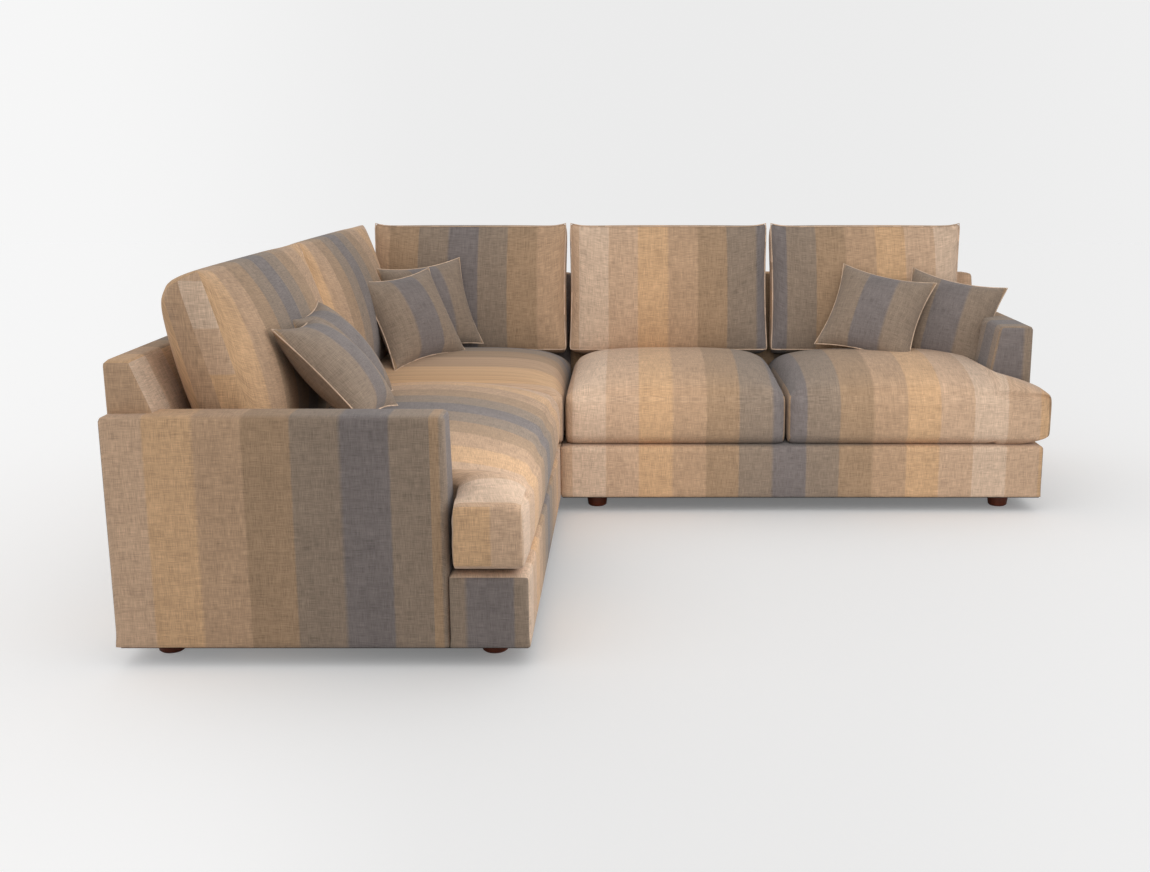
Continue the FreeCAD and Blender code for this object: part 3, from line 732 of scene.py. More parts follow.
def add_corner_base():
    unit, quads, panels = panel_box(spread(20, 0.2), spread(20, 0.2), spread(6, 0.5))
    size = (wing_depth - deck_y, wing_depth - deck_y, deck_height - floor_gap)
    points = padded_box(unit, size, (deck_y, deck_y, floor_gap), deck_radius, deck_swell)
    cloth = cloth_rows(points, quads, panels, corner_across, height_along)
    base = make_piece("corner_base_upholstery", points, quads, cloth, from_corner, "root", "striped_linen")
    base.data.materials.append(striped_cloth)
    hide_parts("corner_base_cover")
    return base


left_base = add_base("left", from_left, left_length, left_base_across)
right_base = add_base("right", from_right, right_length, right_base_across)
corner_base = add_corner_base()
print("base points", [len(base.data.vertices) for base in (left_base, right_base, corner_base)])

# %% [markdown]
# ## Seams that can be followed
#
# A seam with piping runs round the border of a panel: a cord rolled in a strip of cloth and sewn between
# two panels. A curve with a round section could follow it, but it would have to be drawn by hand. The grid
# knows which points lie on the border, so a tube is laid on them once the cloth has its final shape.

# %% Following a panel's border
def border_of(unit, axis, end):
    """The points round one panel's border, in order, found from the unit box."""
    side = np.isclose(unit[:, axis], end)
    a, b = [k for k in range(3) if k != axis]
    edge = side & (np.isclose(np.abs(unit[:, a]), 1) | np.isclose(np.abs(unit[:, b]), 1))
    picked = np.nonzero(edge)[0]
    turn = np.arctan2(unit[picked, b] * 0.999, unit[picked, a])
    return picked[np.argsort(turn)]


print("border points on the top of a test box", len(border_of(test_points, 2, 1)))

# %% Laying a tube on the border
piping_radius = 0.0022
piping_sides = 8
PIPING = 9


def tube_mesh(path, radius, sides=piping_sides):
    """A closed tube that follows a closed loop of points: its points and quads."""
    path = np.asarray(path)
    ahead = np.roll(path, -1, 0) - np.roll(path, 1, 0)
    ahead /= np.linalg.norm(ahead, axis=1)[:, None]
    out = path - path.mean(0)
    out -= (out * ahead).sum(1)[:, None] * ahead
    out /= np.linalg.norm(out, axis=1)[:, None]
    third = np.cross(ahead, out)
    angles = np.arange(sides) * 2 * math.pi / sides
    outward = np.cos(angles)[None, :, None] * out[:, None]
    sideways = np.sin(angles)[None, :, None] * third[:, None]
    rings = path[:, None] + radius * (outward + sideways)
    points = rings.reshape(-1, 3)
    quads = []
    for ring in range(len(path)):
        following = (ring + 1) % len(path)
        for side in range(sides):
            beside = (side + 1) % sides
            here, there = ring * sides, following * sides
            quads.append([here + side, there + side, there + beside, here + beside])
    return points, quads


def add_piping(name, path, radius, parent):
    """Piping of a rolled strip of the same cloth, which moves with the cushion that it edges."""
    points, quads = tube_mesh(path, radius)
    run = np.linalg.norm(np.diff(path, axis=0, append=path[:1]), axis=1).cumsum()
    cloth = np.zeros((len(quads), 4, 3))
    cloth[:, :, 0] = stripe_start(TAN) + stripe / 2
    cloth[:, :, 1] = np.repeat(run, piping_sides)[:, None]
    cloth[:, :, 2] = PIPING
    piece = make_piece(name, points, quads, cloth, None, parent["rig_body"], parent["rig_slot"])
    piece.data.materials.append(piping_cloth)
    return piece


ring_points, ring_quads = tube_mesh(test_points[border_of(test_points, 2, 1)], piping_radius)
print("a test ring has", len(ring_points), "points and", len(ring_quads), "quads")

# %% [markdown]
# ## Seat cushions
#
# A seat cushion is foam in a fibre wrap. One sheet of cloth goes over its top, front and back, and a
# panel closes each end. It could be inflated from a flat bag by a simulation alone, but a filled seat must
# fit between its neighbours to the millimetre. So it is modelled full, and a short simulation later only
# softens it. The first cell has the sizes: how high the cushion is at its seams and at its crown, how
# far its edges are rounded, and how far the bottom is tucked up under the front and the ear.

# %% Seat sizes
soft_gap = 0.0004
seat_low = deck_height + soft_gap
seat_seam = 0.178
seat_crown = 0.092
seat_front = 1.012
seat_back = deck_y + soft_gap
seat_split = 1.775
seat_shrink = 0.005
front_inset = 0.012
shoulder_radius = 0.050
shoulder_height = 0.030
end_radius = 0.012
tuck_radius = 0.008
tuck_height = 0.028
front_tuck = 0.035
ear_tuck = 0.090
seat_bulge = 0.006
end_bulge = 0.002
corner_draw = 0.012
crown_height = seat_low + seat_seam + seat_crown
print("seat seams at", round(seat_low + seat_seam, 3), "and crown at", round(crown_height, 3))

# %% [markdown]
# ## The crown and the edges of a seat
#
# The top rises steeply from the seams and is almost flat in the middle, as foam that is a little too large
# for its cover makes it. A power of the distance from the middle gives that profile with one number. The
# ear that passes in front of an arm has less foam, so there the crown rises slowly from its end. The
# edges along the front and back are wide and soft, and the seams at the ends are tight.

# %% Crown and edges
def crown_along(u, long_slope):
    """How full the crown is along the cushion. The ear of a T cushion rises slowly from its end."""
    quick = np.clip(1 - np.abs(u) ** 3.4, 0, 1) ** 0.4
    slow = np.clip(1 - np.abs(u) ** 2.2, 0, 1)
    return np.where((u < 0) & long_slope, slow, quick)


def crown_across(v):
    return np.clip(1 - np.abs(v) ** 2.2, 0, 1) ** 0.7


def seat_radii(unit):
    """Wide soft edges along the front and back of the top, tight seams at the ends, a tucked bottom."""
    lengthwise = np.abs(unit[:, 1]) > 0.8
    top = unit[:, 2] > 0
    across_edge = np.full(len(unit), end_radius)
    deep_edge = np.where(top, shoulder_radius, tuck_radius)
    tall_edge = np.where(top, np.where(lengthwise, shoulder_height, end_radius), tuck_radius)
    return np.stack([across_edge, deep_edge, tall_edge], 1)


profile = crown_across(np.array([0.0, 0.5, 0.9]))
print("the crown at the middle, halfway out and near the edge", profile.round(2))

# %% [markdown]
# ## The shape of a seat
#
# The rounded box is crowned, its front swells and its ends are drawn in. The two T cushions pass in front
# of an arm with an ear: there the back edge of the cushion jumps forward. A boolean could cut that notch,
# but it would leave a mesh without a clean grid, so the back edge is a function of x instead.

# %% Seat shape
def seat_shape(unit, low_x, high_x, back_of, has_ear):
    """A crowned box. back_of gives the place of its back edge for each x."""
    half = np.array([(high_x - low_x) / 2, 1.0, seat_seam / 2])
    middle = (low_x + high_x) / 2
    shaped = round_edges(unit, half, seat_radii(unit))
    u, v = np.clip(unit[:, 0], -1, 1), np.clip(unit[:, 1], -1, 1)
    side = np.sign(v)
    x = shaped[:, 0] + middle
    inset = np.abs(v) - np.abs(shaped[:, 1])
    back = back_of(middle + u * half[0])
    y = back + (seat_front - front_inset - back) * (v + 1) / 2 - side * inset
    level = np.clip((shaped[:, 2] + half[2]) / seat_seam, 0, 1)
    belly = 1 - (2 * level - 1) ** 2
    full = crown_along(u, has_ear)
    from_end = (u + 1) * half[0]
    from_front = (1 - v) * (seat_front - back) / 2
    tuck = np.clip(1 - from_front / front_tuck, 0, 1)
    if has_ear:
        tuck = np.maximum(tuck, np.clip(1 - from_end / ear_tuck, 0, 1) ** 1.3)
    z = seat_low + shaped[:, 2] + half[2] + seat_crown * full * crown_across(v) * level ** 2
    z += tuck_height * tuck * (1 - level)
    y += np.where(np.abs(v) > at_the_face, side * seat_bulge * full * belly, 0)
    y -= side * v ** 4 * corner_draw * (1 - full) ** 2
    x += np.where(np.abs(u) > at_the_face, np.sign(u) * end_bulge * (1 - v ** 2) * belly, 0)
    return np.stack([x, y, z], 1)


cushion_step = 0.026
notch_step = 0.004
notch_clear = 0.01
ear_gap = 0.003


def seat_grid(low_x, high_x, notch=None):
    """The grid of a seat. A notch gets two lines close together, for the step in the back edge."""
    steps = round((high_x - low_x) / cushion_step)
    xs = spread(steps, 0.25)
    if notch is not None:
        middle = (low_x + high_x) / 2
        half = (high_x - low_x) / 2
        near, far = (notch - notch_step - middle) / half, (notch + notch_step - middle) / half
        clear = [p for p in xs if p < near - notch_clear or p > far + notch_clear]
        xs = np.array(sorted(clear + [near, far]))
    return panel_box(xs, spread(32, 0.25), spread(11, 0.4))


plain_quads, notched_quads = seat_grid(0, 0.9)[1], seat_grid(0, 0.9, 0.2)[1]
print("quads in a grid 0.9 long", len(plain_quads), "and with a notch", len(notched_quads))

# %% [markdown]
# ## The four seats
#
# The left wing has one long T cushion, the corner a square one, and the right wing a plain one and a T
# one. Each rides on its own body of the frame where it has one, so it can be drawn out. The stripes run
# on from seat to seat in the right wing, as an upholsterer matches them, and each end panel is a cut of
# its own.

# %% Seats
cushions = []


def body_of(name):
    return name if name in frame["bodies"] else "root"


def add_seat(name, place, low_x, high_x, across, notch=None):
    low_x += seat_shrink
    high_x -= seat_shrink
    unit, quads, panels = seat_grid(low_x, high_x, notch)

    def back_of(x):
        if notch is None:
            return np.full(len(x), seat_back + seat_shrink)
        return np.where(x < notch, arm_length + ear_gap, seat_back + seat_shrink)

    points = seat_shape(unit, low_x, high_x, back_of, notch is not None)
    cloth = cloth_rows(points, quads, panels, across, height_along)
    piece = make_piece(name + "_cloth", points, quads, cloth, place, body_of(name), "striped_linen_cushions")
    piece.data.materials.append(striped_cloth)
    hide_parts(name)
    cushions.append((piece, unit, "seat"))
    return piece


def left_seat_across(points, panel):
    if panel == LOW_X:
        return points[:, 1] - near_end_start
    return points[:, 0] - left_start


end_cut = 0.3


def right_seat_across(points, panel):
    """The two end panels are cut along the stripes, so each shows little more than one of them."""
    if panel == LOW_X:
        return points[:, 1] * end_cut + stripe_start(GOLD)
    if panel == HIGH_X:
        return points[:, 1] * end_cut + stripe_start(SLATE)
    return total_width - points[:, 0] - right_start


past_joint = 0.0128
notch_height = 0.1
arm_notch = arm_foot - arm_slope * notch_height
split = total_width - seat_split
add_seat("left_seat_cushion", from_left, -ear, left_length - past_joint, left_seat_across, arm_notch)
add_seat("right_seat_cushion", from_right, -ear, split - soft_gap, right_seat_across, arm_notch)
add_seat("middle_seat_cushion", from_right, split + soft_gap, right_length - past_joint, right_seat_across)
add_seat("corner_seat_cushion", from_corner, seat_back, seat_front, corner_across)
print("seats", [(piece.name, len(piece.data.polygons)) for piece, unit, kind in cushions])

# %% [markdown]
# ## Back cushions
#
# A back cushion is a boxed cushion filled with fibre. It stands on the seat and leans on the back, so its
# place follows from the seat's crown and the rake. The first cell has its sizes, and finds the height at
# which its front edge meets the seat, from the arc that the frame's seat solids have.

# %% Back cushion sizes
back_height = 0.488
border_half = 0.062
front_crown = 0.046
rear_crown = 0.050
ear_rise = 0.020
side_draw = 0.007
rear_draw = 0.012
front_radius = 0.016
rear_radius = 0.044
top_bulge = 0.012
back_seat_y = 0.289
corner_back_low = 0.240
corner_back_high = 0.998
left_back_split = 1.120
corner_nook = 0.034
arm_clearance = 0.004
crown_border = 0.055
crown_start = 0.032
crown_rise = 0.060


def seat_top(y):
    """The height of the solid seat's crown at its fullest, at a distance from the outer back."""
    middle = (seat_back + seat_front) / 2
    half = (seat_front - seat_back) / 2 - crown_border
    radius = (half ** 2 + crown_rise ** 2) / (2 * crown_rise)
    arc = math.sqrt(radius ** 2 - (y - middle) ** 2) - (radius - crown_rise)
    return seat_low + seat_seam + crown_start + arc


back_front_y = back_seat_y + border_half * math.cos(rake)
back_low_z = seat_top(back_front_y) + soft_gap - border_half * math.sin(rake)
print("back cushions stand on the seat at", round(seat_top(back_front_y), 3))

# %% [markdown]
# ## The shape of a back cushion
#
# Its front and rear panels crown, the border between them is drawn in halfway up, and the filling leaves
# the two top corners standing up as small ears. Sculpting could give that once. With powers of the distance
# from the middle it can be given to five cushions of different widths. The shape is made upright and then
# raked, and its ends may lean, where it stands against a sloping arm or a neighbour at a right angle.

# %% Back cushion shape
end_inset = 0.003
top_inset = 0.002
flat_half = 0.08


def back_cushion_shape(unit, low_x, high_x, tilt_low, tilt_high):
    half = np.array([(high_x - low_x) / 2 - end_inset, border_half, back_height / 2 - top_inset])
    u, v, w = unit[:, 0], unit[:, 1], unit[:, 2]
    behind = np.clip((1 - v) / 2, 0, 1)
    radius = front_radius + (rear_radius - front_radius) * behind * np.clip((w + 1) / 2, 0, 1) ** 2
    shaped = round_edges(unit, half, np.repeat(radius[:, None], 3, 1))
    full = np.clip(1 - np.abs(u) ** 3.2, 0, 1) ** 0.5 * np.clip(1 - w ** 2, 0, 1) ** 0.75
    out = shaped[:, 1]
    out += np.where(v > at_the_face, front_crown * full, 0)
    out -= np.where(v < -at_the_face, rear_crown * full, 0)
    up = shaped[:, 2] + back_height / 2
    up += ear_rise * np.abs(u) ** 10 * np.clip(w, 0, 1) ** 6 * (1 - behind)
    up += np.where(w > at_the_face, top_bulge * (1 - (out / flat_half) ** 2) * (1 - np.abs(u) ** 6), 0)
    x = shaped[:, 0] + (low_x + high_x) / 2
    x -= np.sign(u) * np.abs(u) ** 6 * (side_draw * (1 - w ** 2) + rear_draw * behind ** 2)
    y = back_seat_y - up * math.sin(rake) + out * math.cos(rake)
    z = back_low_z + up * math.cos(rake) + out * math.sin(rake)
    share = np.clip((x - low_x) / (high_x - low_x), 0, 1)
    x += (tilt_low + (tilt_high - tilt_low) * share) * (z - back_low_z)
    return np.stack([x, y, z], 1)


test_back = back_cushion_shape(test_points, 0, 0.8, 0, 0)
print("a back cushion 0.8 wide reaches up to", round(test_back[:, 2].max(), 3))

# %% [markdown]
# ## Cutting the back cushions
#
# The stripes stand upright on the front and rear panels. The border is a strip that was cut across them,
# so on it they lie one above another. Its rear half was cut elsewhere and is brown, so the border is split
# into two panels along the grid line in its middle.

# %% Back cushions
REAR_BORDER = 7
rear_border_cut = 3.1
rear_border_turn = 0.4
rear_border_from = 0.1


def border_across(points, panel):
    """The border's stripes lie across it, with a pale one at the top, and its rear half is brown."""
    if panel == REAR_BORDER:
        return stripe_start(rear_border_cut) + rear_border_turn * (points[:, 1] - rear_border_from)
    top = back_low_z + back_height * math.cos(rake)
    return top - points[:, 2] + stripe_start(PALE)


def border_along(points, panel):
    if panel in (LOW_X, HIGH_X):
        return points[:, 1]
    if panel == REAR_BORDER:
        return points[:, 2]
    return points[:, 1] + points[:, 2]


def back_across(start, flipped=False):
    """The upright stripes of a cushion, counted from the left of the sofa where they are flipped."""
    def across(points, panel):
        if panel in (LOW_X, HIGH_X, REAR_BORDER):
            return border_across(points, panel)
        return (total_width - points[:, 0] if flipped else points[:, 0]) - start
    return across


def add_back(name, place, low_x, high_x, across, tilt_low=0.0, tilt_high=0.0):
    steps = round((high_x - low_x) / cushion_step)
    unit, quads, panels = panel_box(spread(steps, 0.25), spread(7, 0.5), spread(20, 0.3))
    points = back_cushion_shape(unit, low_x, high_x, tilt_low, tilt_high)
    rear_half = np.isin(panels, (LOW_X, HIGH_X)) & (quad_centres(unit, quads)[:, 1] < 0)
    panels = np.where(rear_half, REAR_BORDER, panels)
    cloth = cloth_rows(points, quads, panels, across, border_along)
    piece = make_piece(name + "_cloth", points, quads, cloth, place, body_of(name), "striped_linen_cushions")
    piece.data.materials.append(striped_cloth)
    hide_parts(name)
    cushions.append((piece, unit, "back"))
    return piece


print("the rear border starts", rear_border_cut, "stripes into the cloth")

# %% [markdown]
# ## Placing the back cushions
#
# The two cushions of the left wing have their slate stripe in the middle. The three on the right share one
# run of the cloth with the seats below. The far cushion of the left wing ends just in front of the corner
# one, and that end leans back with it.

# %% Back cushion places
back_low_x = arm_foot - arm_slope * (back_low_z - deck_height) + arm_clearance
arm_lean = -0.04
corner_gap = 0.009
corner_face = back_front_y + corner_gap + corner_nook
left_far_end = total_depth - corner_face
left_far_start = left_back_split + soft_gap
near_slate = (back_low_x + left_back_split) / 2 - slate_middle
far_slate = (left_back_split + left_far_end) / 2 - slate_middle
right_backs = back_across(right_start, True)
corner_backs = back_across(corner_back_start, True)
corner_joint = total_width - corner_back_high
corner_end = total_width - corner_back_low
near_backs = back_across(near_slate)
far_backs = back_across(far_slate)
add_back("left_back_cushion", from_left, back_low_x, left_back_split - soft_gap, near_backs, arm_lean, 0)
add_back("left_far_back_cushion", from_left, left_far_start, left_far_end, far_backs, 0, math.tan(rake))
add_back("right_back_cushion", from_right, back_low_x, split - soft_gap, right_backs, arm_lean, 0)
add_back("middle_back_cushion", from_right, split + soft_gap, corner_joint - soft_gap, right_backs)
add_back("corner_back_cushion", from_right, corner_joint + soft_gap, corner_end, corner_backs)
print("back cushions", [piece.name for piece, unit, kind in cushions if kind == "back"])

# %% [markdown]
# ## Scatter cushions
#
# A scatter cushion is two squares of cloth sewn along their edges and filled until they are tight. The
# sides are drawn in between the corners and the corners stay sharp. Two flat squares could be inflated by
# the simulation, but the pillow that comes out depends on many settings. A dome that falls to a thin seam is
# certain, and the simulation then only adds the last few millimetres.

# %% Scatter shape
scatter_half = 0.182
scatter_tall = 0.172
scatter_pinch = 0.022
scatter_thick = 0.072
scatter_seam = 0.003


def scatter_shape(unit):
    """Two squares with drawn-in sides that meet in a thin seam."""
    u, w = unit[:, 0], unit[:, 2]
    x = u * (scatter_half - scatter_pinch * (1 - w ** 2))
    z = w * (scatter_tall - scatter_pinch * (1 - u ** 2))
    full = (np.clip(1 - u ** 2, 0, 1) * np.clip(1 - w ** 2, 0, 1)) ** 0.5
    y = unit[:, 1] * (scatter_seam + (scatter_thick - scatter_seam) * full)
    return np.stack([x, y, z], 1)


test_scatter = scatter_shape(test_points)
print("a scatter cushion spans", np.ptp(test_scatter, axis=0).round(3))

# %% [markdown]
# ## Placing the scatter cushions
#
# Each one is turned about the upright, tipped back against what it leans on, and rolled a little to one
# side. It starts at the middle of its solid in the frame and is moved from there by a few centimetres, to
# lie as soft cushions do: pressed into the seat or against its neighbour.

# %% Scatter cushions
def turned(yaw, tip, roll):
    turn = Matrix.Rotation(math.radians(yaw), 3, "Z")
    turn = turn @ Matrix.Rotation(math.radians(tip), 3, "X")
    return turn @ Matrix.Rotation(math.radians(roll), 3, "Y")


def wing_turn(place):
    """The turn that a placing function gives, as a matrix. For the mirrored ones it also mirrors."""
    axes = place(np.eye(3)) - place(np.zeros((1, 3)))
    return Matrix(axes.T.tolist())


def add_scatter(name, place, yaw, tip, roll, shift):
    unit, quads, panels = panel_box(spread(20, 0.3), np.array([-1.0, 1.0]), spread(20, 0.3))
    low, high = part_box(name)
    middle = np.array((low + high) / 2) + np.array(shift)
    spin = np.array(wing_turn(place) @ turned(yaw, tip, roll))
    local = scatter_shape(unit)
    cloth = cloth_rows(local, quads, panels, lambda p, panel: p[:, 0] + slate_middle,
                       lambda p, panel: p[:, 2])
    flipped = place in mirrored
    quads = [q[::-1] for q in quads] if flipped else quads
    rows = cloth[:, ::-1] if flipped else cloth
    points = local @ spin.T + middle
    piece = make_piece(name + "_cloth", points, quads, rows, None, body_of(name), "striped_linen_cushions")
    piece.data.materials.append(striped_cloth)
    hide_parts(name)
    cushions.append((piece, unit, "scatter"))
    return piece


add_scatter("left_scatter_near", from_left, 0, 44, 3, (-0.012, 0.03, -0.012))
add_scatter("left_scatter_far", from_left, 2, 38, -2, (-0.008, 0.0, -0.010))
add_scatter("right_scatter_outer", from_right, -20, 22, -11, (0.060, -0.028, -0.078))
add_scatter("right_scatter_inner", from_right, -20, 32, -11, (-0.008, 0.0, -0.036))
add_scatter("corner_scatter_front", from_left, 38, 28, -4, (-0.035, -0.008, -0.006))
add_scatter("corner_scatter_rear", from_right, 37, 21, 4, (-0.022, 0.002, -0.016))
print("cushions in all", len(cushions))

# %% [markdown]
# ## Wood, metal and the hidden cloths
#
# The turned feet are stained beech under a satin lacquer. What the frame holds inside keeps its solids and
# gets the finish of the real stuff: sawn timber, felt, woven elastic webbing, dust cloth and plated steel.
# Each could have a recipe of its own, but at their size one will do for all: a colour, a grain that is
# stretched along the piece or even, and how rough or metallic the surface is.

# %% Other finishes
def plain_finish(name, colour, roughness, scale, depth=0.12, metal=0.0, bump=0.1):
    """A finish with a grain or weave of a given scale, laid out in the piece's own space."""
    shader = Shader(name)
    place = shader.add("ShaderNodeTexCoord").outputs["Object"]
    scaled = shader.add("ShaderNodeVectorMath", {"operation": "MULTIPLY"}, n0=place, n1=scale).outputs[0]
    grain = shader.noise(scaled, 1.0, 4.0)
    value = shader.maths("ADD", shader.centred(grain, 4 * depth), 1.0)
    tint = shader.add("ShaderNodeHueSaturation", None, Value=value, Color=linear(colour)).outputs["Color"]
    shader.put(shader.surface, "Base Color", tint)
    shader.surface.inputs["Roughness"].default_value = roughness
    shader.surface.inputs["Metallic"].default_value = metal
    raised = shader.add("ShaderNodeBump", None, Height=grain, Strength=bump, Distance=0.001)
    shader.put(shader.surface, "Normal", raised.outputs["Normal"])
    return shader.material


steel = plain_finish("zinc_steel", (0.78, 0.78, 0.76), 0.35, (80, 80, 300), 0.05, 1.0)
finishes = {
    "feet": plain_finish("stained_beech", (0.40, 0.19, 0.11), 0.35, (60, 60, 12), 0.2),
    "frame": plain_finish("sawn_timber", (0.80, 0.68, 0.50), 0.8, (12, 12, 90), 0.1),
    "felt_pad": plain_finish("needled_felt", (0.66, 0.65, 0.62), 0.95, (300, 300, 300)),
    "webbing": plain_finish("elastic_webbing", (0.20, 0.19, 0.19), 0.85, (400, 400, 400)),
    "dust_cover": plain_finish("dust_cloth", (0.09, 0.09, 0.09), 0.95, (500, 500, 500)),
    "foot_bolts": steel, "joint_hooks": steel, "joint_catches": steel}

for name, node in nodes.items():
    for ending, finish in finishes.items():
        if name.endswith(ending):
            node.data.materials.clear()
            node.data.materials.append(finish)

shown = [name for name, node in nodes.items() if not node.hide_render]
print("shown nodes of the frame", len(shown))

# %% [markdown]
# ## Floor, light and camera
#
# The sofa stands on pale paper that runs on behind it without a horizon. A curved sheet would do in a real
# studio, but it would be seen from behind in other views. So the floor is flat and has the tone of the
# backdrop, which depends only on how far to the side one looks. First come the floor and the values of
# the camera and of the paper's tones.

# %% Floor and paper
floor_mesh = bpy.data.meshes.new("floor")
reach = 14.0
floor_mesh.from_pydata([(-reach, -reach, 0), (reach, -reach, 0), (reach, reach, 0), (-reach, reach, 0)], [],
                       [(0, 1, 2, 3)])
floor = bpy.data.objects.new("floor", floor_mesh)
bpy.context.scene.collection.objects.link(floor)

picture_width = 1150
focal_pixels = 1337.3
optical_centre = 630.45
camera_place = (plan_x + 1.2396, plan_y - 3.0378, 1.2191)
middle_white = 0.830
left_white = 0.925
right_white = 0.880
ambient = 0.80
paper_colour = 0.85
lit_paper = paper_colour * ambient
print("paper in the room's light", round(lit_paper, 3))

# %% [markdown]
# ## The tone of the backdrop
#
# The backdrop is a little paler at the sides than behind the sofa. A picture of a gradient could stand
# there, but a ramp over the sideways direction does the same and stays smooth at any size.

# %% Backdrop tone
tone_steps = (
    (0.0, left_white), (0.16, left_white), (0.34, middle_white), (0.70, middle_white), (0.95, right_white))
nearest = 0.05


def backdrop_tone(shader, side):
    """The paper's tone, by how far to the side of the camera's line a point lies."""
    ramp = shader.add("ShaderNodeValToRGB", None, Fac=shader.maths("ADD", side, 0.5))
    ramp.color_ramp.interpolation = "B_SPLINE"
    stops = ramp.color_ramp.elements
    for place, white in tone_steps:
        stops.new(place).color = (white, white, white, 1)
    stops.remove(stops[0])
    stops.remove(stops[-1])
    return ramp.outputs["Color"]


def side_of(shader, vector):
    """How far to the side a direction goes for each metre away from the camera, at the camera's scale."""
    parts = shader.add("ShaderNodeSeparateXYZ", None, Vector=vector)
    away = shader.maths("MAXIMUM", parts.outputs["Y"], nearest)
    return shader.maths("DIVIDE", parts.outputs["X"], away)


print("backdrop tones from left to right", [white for place, white in tone_steps])

# %% [markdown]
# ## The floor's paper
#
# To the light the floor is plain matt paper, so it bounces light up and takes the sofa's shadow. Seen by
# the camera it also glows by as much as its lit tone falls short of the backdrop's, and the two then meet
# without a line.

# %% Floor finish
ground = Shader("floor_paint")
ground.surface.inputs["Base Color"].default_value = (paper_colour, paper_colour, paper_colour, 1)
ground.surface.inputs["Roughness"].default_value = 1.0
ground.surface.inputs["Specular IOR Level"].default_value = 0.0
spot = ground.add("ShaderNodeNewGeometry").outputs["Position"]
away = ground.add("ShaderNodeVectorMath", {"operation": "SUBTRACT"}, n0=spot, n1=camera_place).outputs[0]
tone = backdrop_tone(ground, side_of(ground, away))
glow = ground.add("ShaderNodeVectorMath", {"operation": "SUBTRACT"}, n0=tone, n1=(lit_paper,) * 3).outputs[0]
paper = ground.add("ShaderNodeEmission", None, Color=glow, Strength=1.0)
both = ground.add("ShaderNodeAddShader")
ground.tree.links.new(paper.outputs[0], both.inputs[0])
ground.tree.links.new(ground.surface.outputs[0], both.inputs[1])
looked_at = ground.add("ShaderNodeLightPath").outputs["Is Camera Ray"]
seen_floor = ground.add("ShaderNodeMixShader", None, Fac=looked_at)
ground.tree.links.new(ground.surface.outputs[0], seen_floor.inputs[1])
ground.tree.links.new(both.outputs[0], seen_floor.inputs[2])
ground.tree.links.new(seen_floor.outputs[0], ground.tree.nodes["Material Output"].inputs["Surface"])
floor_mesh.materials.append(ground.material)
print("floor finish with", len(ground.tree.nodes), "nodes")

# %% [markdown]
# ## The room's light
#
# The world lights the sofa evenly from all sides, as a bright room with pale walls does. The camera, and
# what reflects or lets light through, sees the backdrop's tone there instead.

# %% World
class WorldShader(Shader):
    """The same short way, for the world's nodes."""

    def __init__(self, world):
        world.use_nodes = True
        self.tree = world.node_tree


world = bpy.data.worlds.new("studio")
bpy.context.scene.world = world
sky = WorldShader(world)
direction = sky.add("ShaderNodeNewGeometry").outputs["Incoming"]
turned_over = (-1, -1, -1)
outward = sky.add("ShaderNodeVectorMath", {"operation": "MULTIPLY"}, n0=direction, n1=turned_over).outputs[0]
seen = sky.tree.nodes["Background"]
sky.put(seen, "Color", backdrop_tone(sky, side_of(sky, outward)))
seen.inputs["Strength"].default_value = 1.0
soft = sky.add("ShaderNodeBackground", None, Color=(1, 1, 1, 1), Strength=ambient)
path = sky.add("ShaderNodeLightPath")
either = sky.maths("MAXIMUM", path.outputs["Is Camera Ray"], path.outputs["Is Glossy Ray"])
also = sky.maths("MAXIMUM", either, path.outputs["Is Transmission Ray"])
choice = sky.add("ShaderNodeMixShader", None, Fac=also)
sky.tree.links.new(soft.outputs[0], choice.inputs[1])
sky.tree.links.new(seen.outputs[0], choice.inputs[2])
sky.tree.links.new(choice.outputs[0], sky.tree.nodes["World Output"].inputs["Surface"])
print("room light", ambient)

# %% [markdown]
# ## Lamp and camera
#
# One large soft lamp stands low in front of the sofa and gives its fronts a little more light than
# its rear. More lamps would fill every fold and flatten the cushions. It doesn't light the floor,
# because the paper would then no longer match the backdrop. The camera stands where the picture was taken
# from: it looks down at a slight angle and its lens is shifted sideways.

# %% Lamp
not_the_floor = bpy.data.collections.new("not_the_floor")
not_the_floor.objects.link(floor)
not_the_floor.collection_objects[0].light_linking.link_state = "EXCLUDE"


def add_lamp(name, where, aim, size, watts):
    """A round soft lamp. The paper on the floor is lit by the room alone, so it stays even."""
    lamp = bpy.data.lights.new(name, "AREA")
    lamp.shape = "DISK"
    lamp.size = size
    lamp.energy = watts
    holder = bpy.data.objects.new(name, lamp)
    holder.location = where
    holder.rotation_euler = (Vector(aim) - Vector(where)).to_track_quat("-Z", "Y").to_euler()
    holder.light_linking.receiver_collection = not_the_floor
    bpy.context.scene.collection.objects.link(holder)
    return holder


key_lamp = add_lamp("key_lamp", (0.35, -1.15, 1.1), (0.2, 0.5, 0.45), 1.2, 14)
print(key_lamp.name, key_lamp.data.energy, "W")

# %% Camera
camera_pitch = 12.028
sensor = 36
camera_data = bpy.data.cameras.new("camera")
camera_data.sensor_fit = "HORIZONTAL"
camera_data.sensor_width = sensor
camera_data.lens = sensor * focal_pixels / picture_width
camera_data.shift_x = (picture_width / 2 - optical_centre) / picture_width
camera = bpy.data.objects.new("camera", camera_data)
camera.location = camera_place
camera.rotation_euler = (math.radians(90 - camera_pitch), 0, 0)
bpy.context.scene.collection.objects.link(camera)
bpy.context.scene.camera = camera
bpy.context.scene.view_settings.view_transform = "Standard"
print("camera", [round(v, 3) for v in camera.location], "lens", round(camera_data.lens, 2))

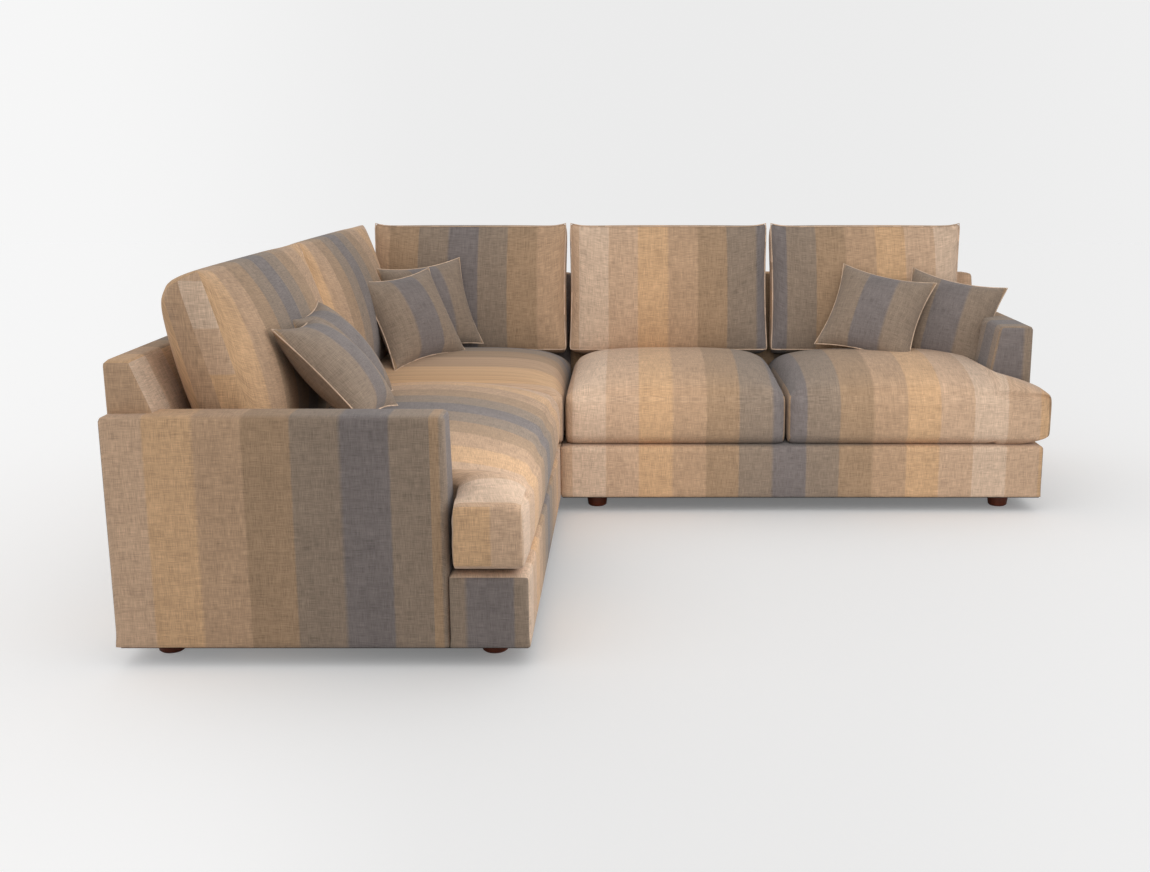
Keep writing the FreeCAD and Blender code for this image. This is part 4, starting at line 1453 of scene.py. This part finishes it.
# %% [markdown]
# ## Filling the cushions
#
# Filling presses on a cover from inside, and the cloth answers with small hollows beside its seams that
# no formula here gives. They could be sculpted, but a cloth simulation finds them by itself in a few
# frames. The seams are held, so that the panels fill out between them, and no point may move far from its
# modelled place, which keeps neighbours apart.

# %% Cloth simulation
def held_points(unit, kind):
    """The points that stay in place: the seams, and what the cushion rests on."""
    at_edge = np.isclose(np.abs(unit), 1).sum(1) >= 2
    if kind == "seat":
        return (at_edge & np.isclose(np.abs(unit[:, 0]), 1)) | (unit[:, 2] < -0.99)
    if kind == "back":
        return at_edge & ~(np.isclose(np.abs(unit[:, 0]), 1) & np.isclose(np.abs(unit[:, 2]), 1))
    return np.isclose(np.abs(unit[:, 0]), 1) | np.isclose(np.abs(unit[:, 2]), 1)


caps = {"seat": 0.003, "back": 0.006, "scatter": 0.008}
frames = 14
print("held on the first cushion", int(held_points(cushions[0][1], "seat").sum()), "of", len(cushions[0][1]))


def start_cloth(piece, unit, kind):
    held = piece.vertex_groups.new(name="held")
    held.add([int(i) for i in np.nonzero(held_points(unit, kind))[0]], 1.0, "REPLACE")
    cloth = piece.modifiers.new("filling", "CLOTH")
    cloth.settings.quality = 5
    cloth.settings.mass = 0.3
    cloth.settings.tension_stiffness = 15
    cloth.settings.compression_stiffness = 8
    cloth.settings.bending_stiffness = 0.6
    cloth.settings.use_pressure = True
    cloth.settings.uniform_pressure_force = 4
    cloth.settings.vertex_group_mass = "held"
    cloth.settings.effector_weights.gravity = 0
    cloth.point_cache.frame_end = frames


def settle_cloth(piece, kind):
    """Where each point goes: towards where the cloth moved, but never past the cap for its kind."""
    graph = bpy.context.evaluated_depsgraph_get()
    filled = piece.evaluated_get(graph).to_mesh()
    count = len(piece.data.vertices)
    before, after = np.zeros(count * 3), np.zeros(count * 3)
    piece.data.vertices.foreach_get("co", before)
    filled.vertices.foreach_get("co", after)
    moved = (after - before).reshape(-1, 3)
    far = np.linalg.norm(moved, axis=1)
    cap = caps[kind]
    limited = moved * (cap * np.tanh(far / cap) / np.maximum(far, 1e-9))[:, None]
    return before + limited.ravel(), far.max()


# %% Run the simulation and keep its shape
for piece, unit, kind in cushions:
    start_cloth(piece, unit, kind)
for number in range(1, frames + 1):
    bpy.context.scene.frame_set(number)
results = [settle_cloth(piece, kind) for piece, unit, kind in cushions]
for (piece, unit, kind), (places, far) in zip(cushions, results):
    piece.modifiers.remove(piece.modifiers["filling"])
    piece.data.vertices.foreach_set("co", places)
    piece.data.update()
    print(piece.name, "moved up to", round(far * 1000, 1), "mm before the cap")
bpy.context.scene.frame_set(1)

# %% [markdown]
# ## Piping
#
# A thin roll of cloth is sewn into the front seams of the three back cushions on the right and round the
# edge of every scatter cushion. It follows the border points where the simulation left them. The
# cushions are then smoothed by one level of subdivision, which is enough because their grids are fine.

# %% Piping on the seams
def seam_path(piece, unit, axis, end):
    places = np.zeros(len(piece.data.vertices) * 3)
    piece.data.vertices.foreach_get("co", places)
    return places.reshape(-1, 3)[border_of(unit, axis, end)]


for piece, unit, kind in cushions:
    if kind == "back" and not piece.name.startswith("left"):
        add_piping(piece.name + "_piping", seam_path(piece, unit, 1, 1), piping_radius, piece)
    if kind == "scatter":
        rim = (seam_path(piece, unit, 1, -1) + seam_path(piece, unit, 1, 1)) / 2
        add_piping(piece.name + "_piping", rim, piping_radius, piece)
    rounding = piece.modifiers.new("rounding", "SUBSURF")
    rounding.levels = rounding.render_levels = 1

# %% Finish
print("cad box", [round(v, 3) for corner in cad_box for v in corner])
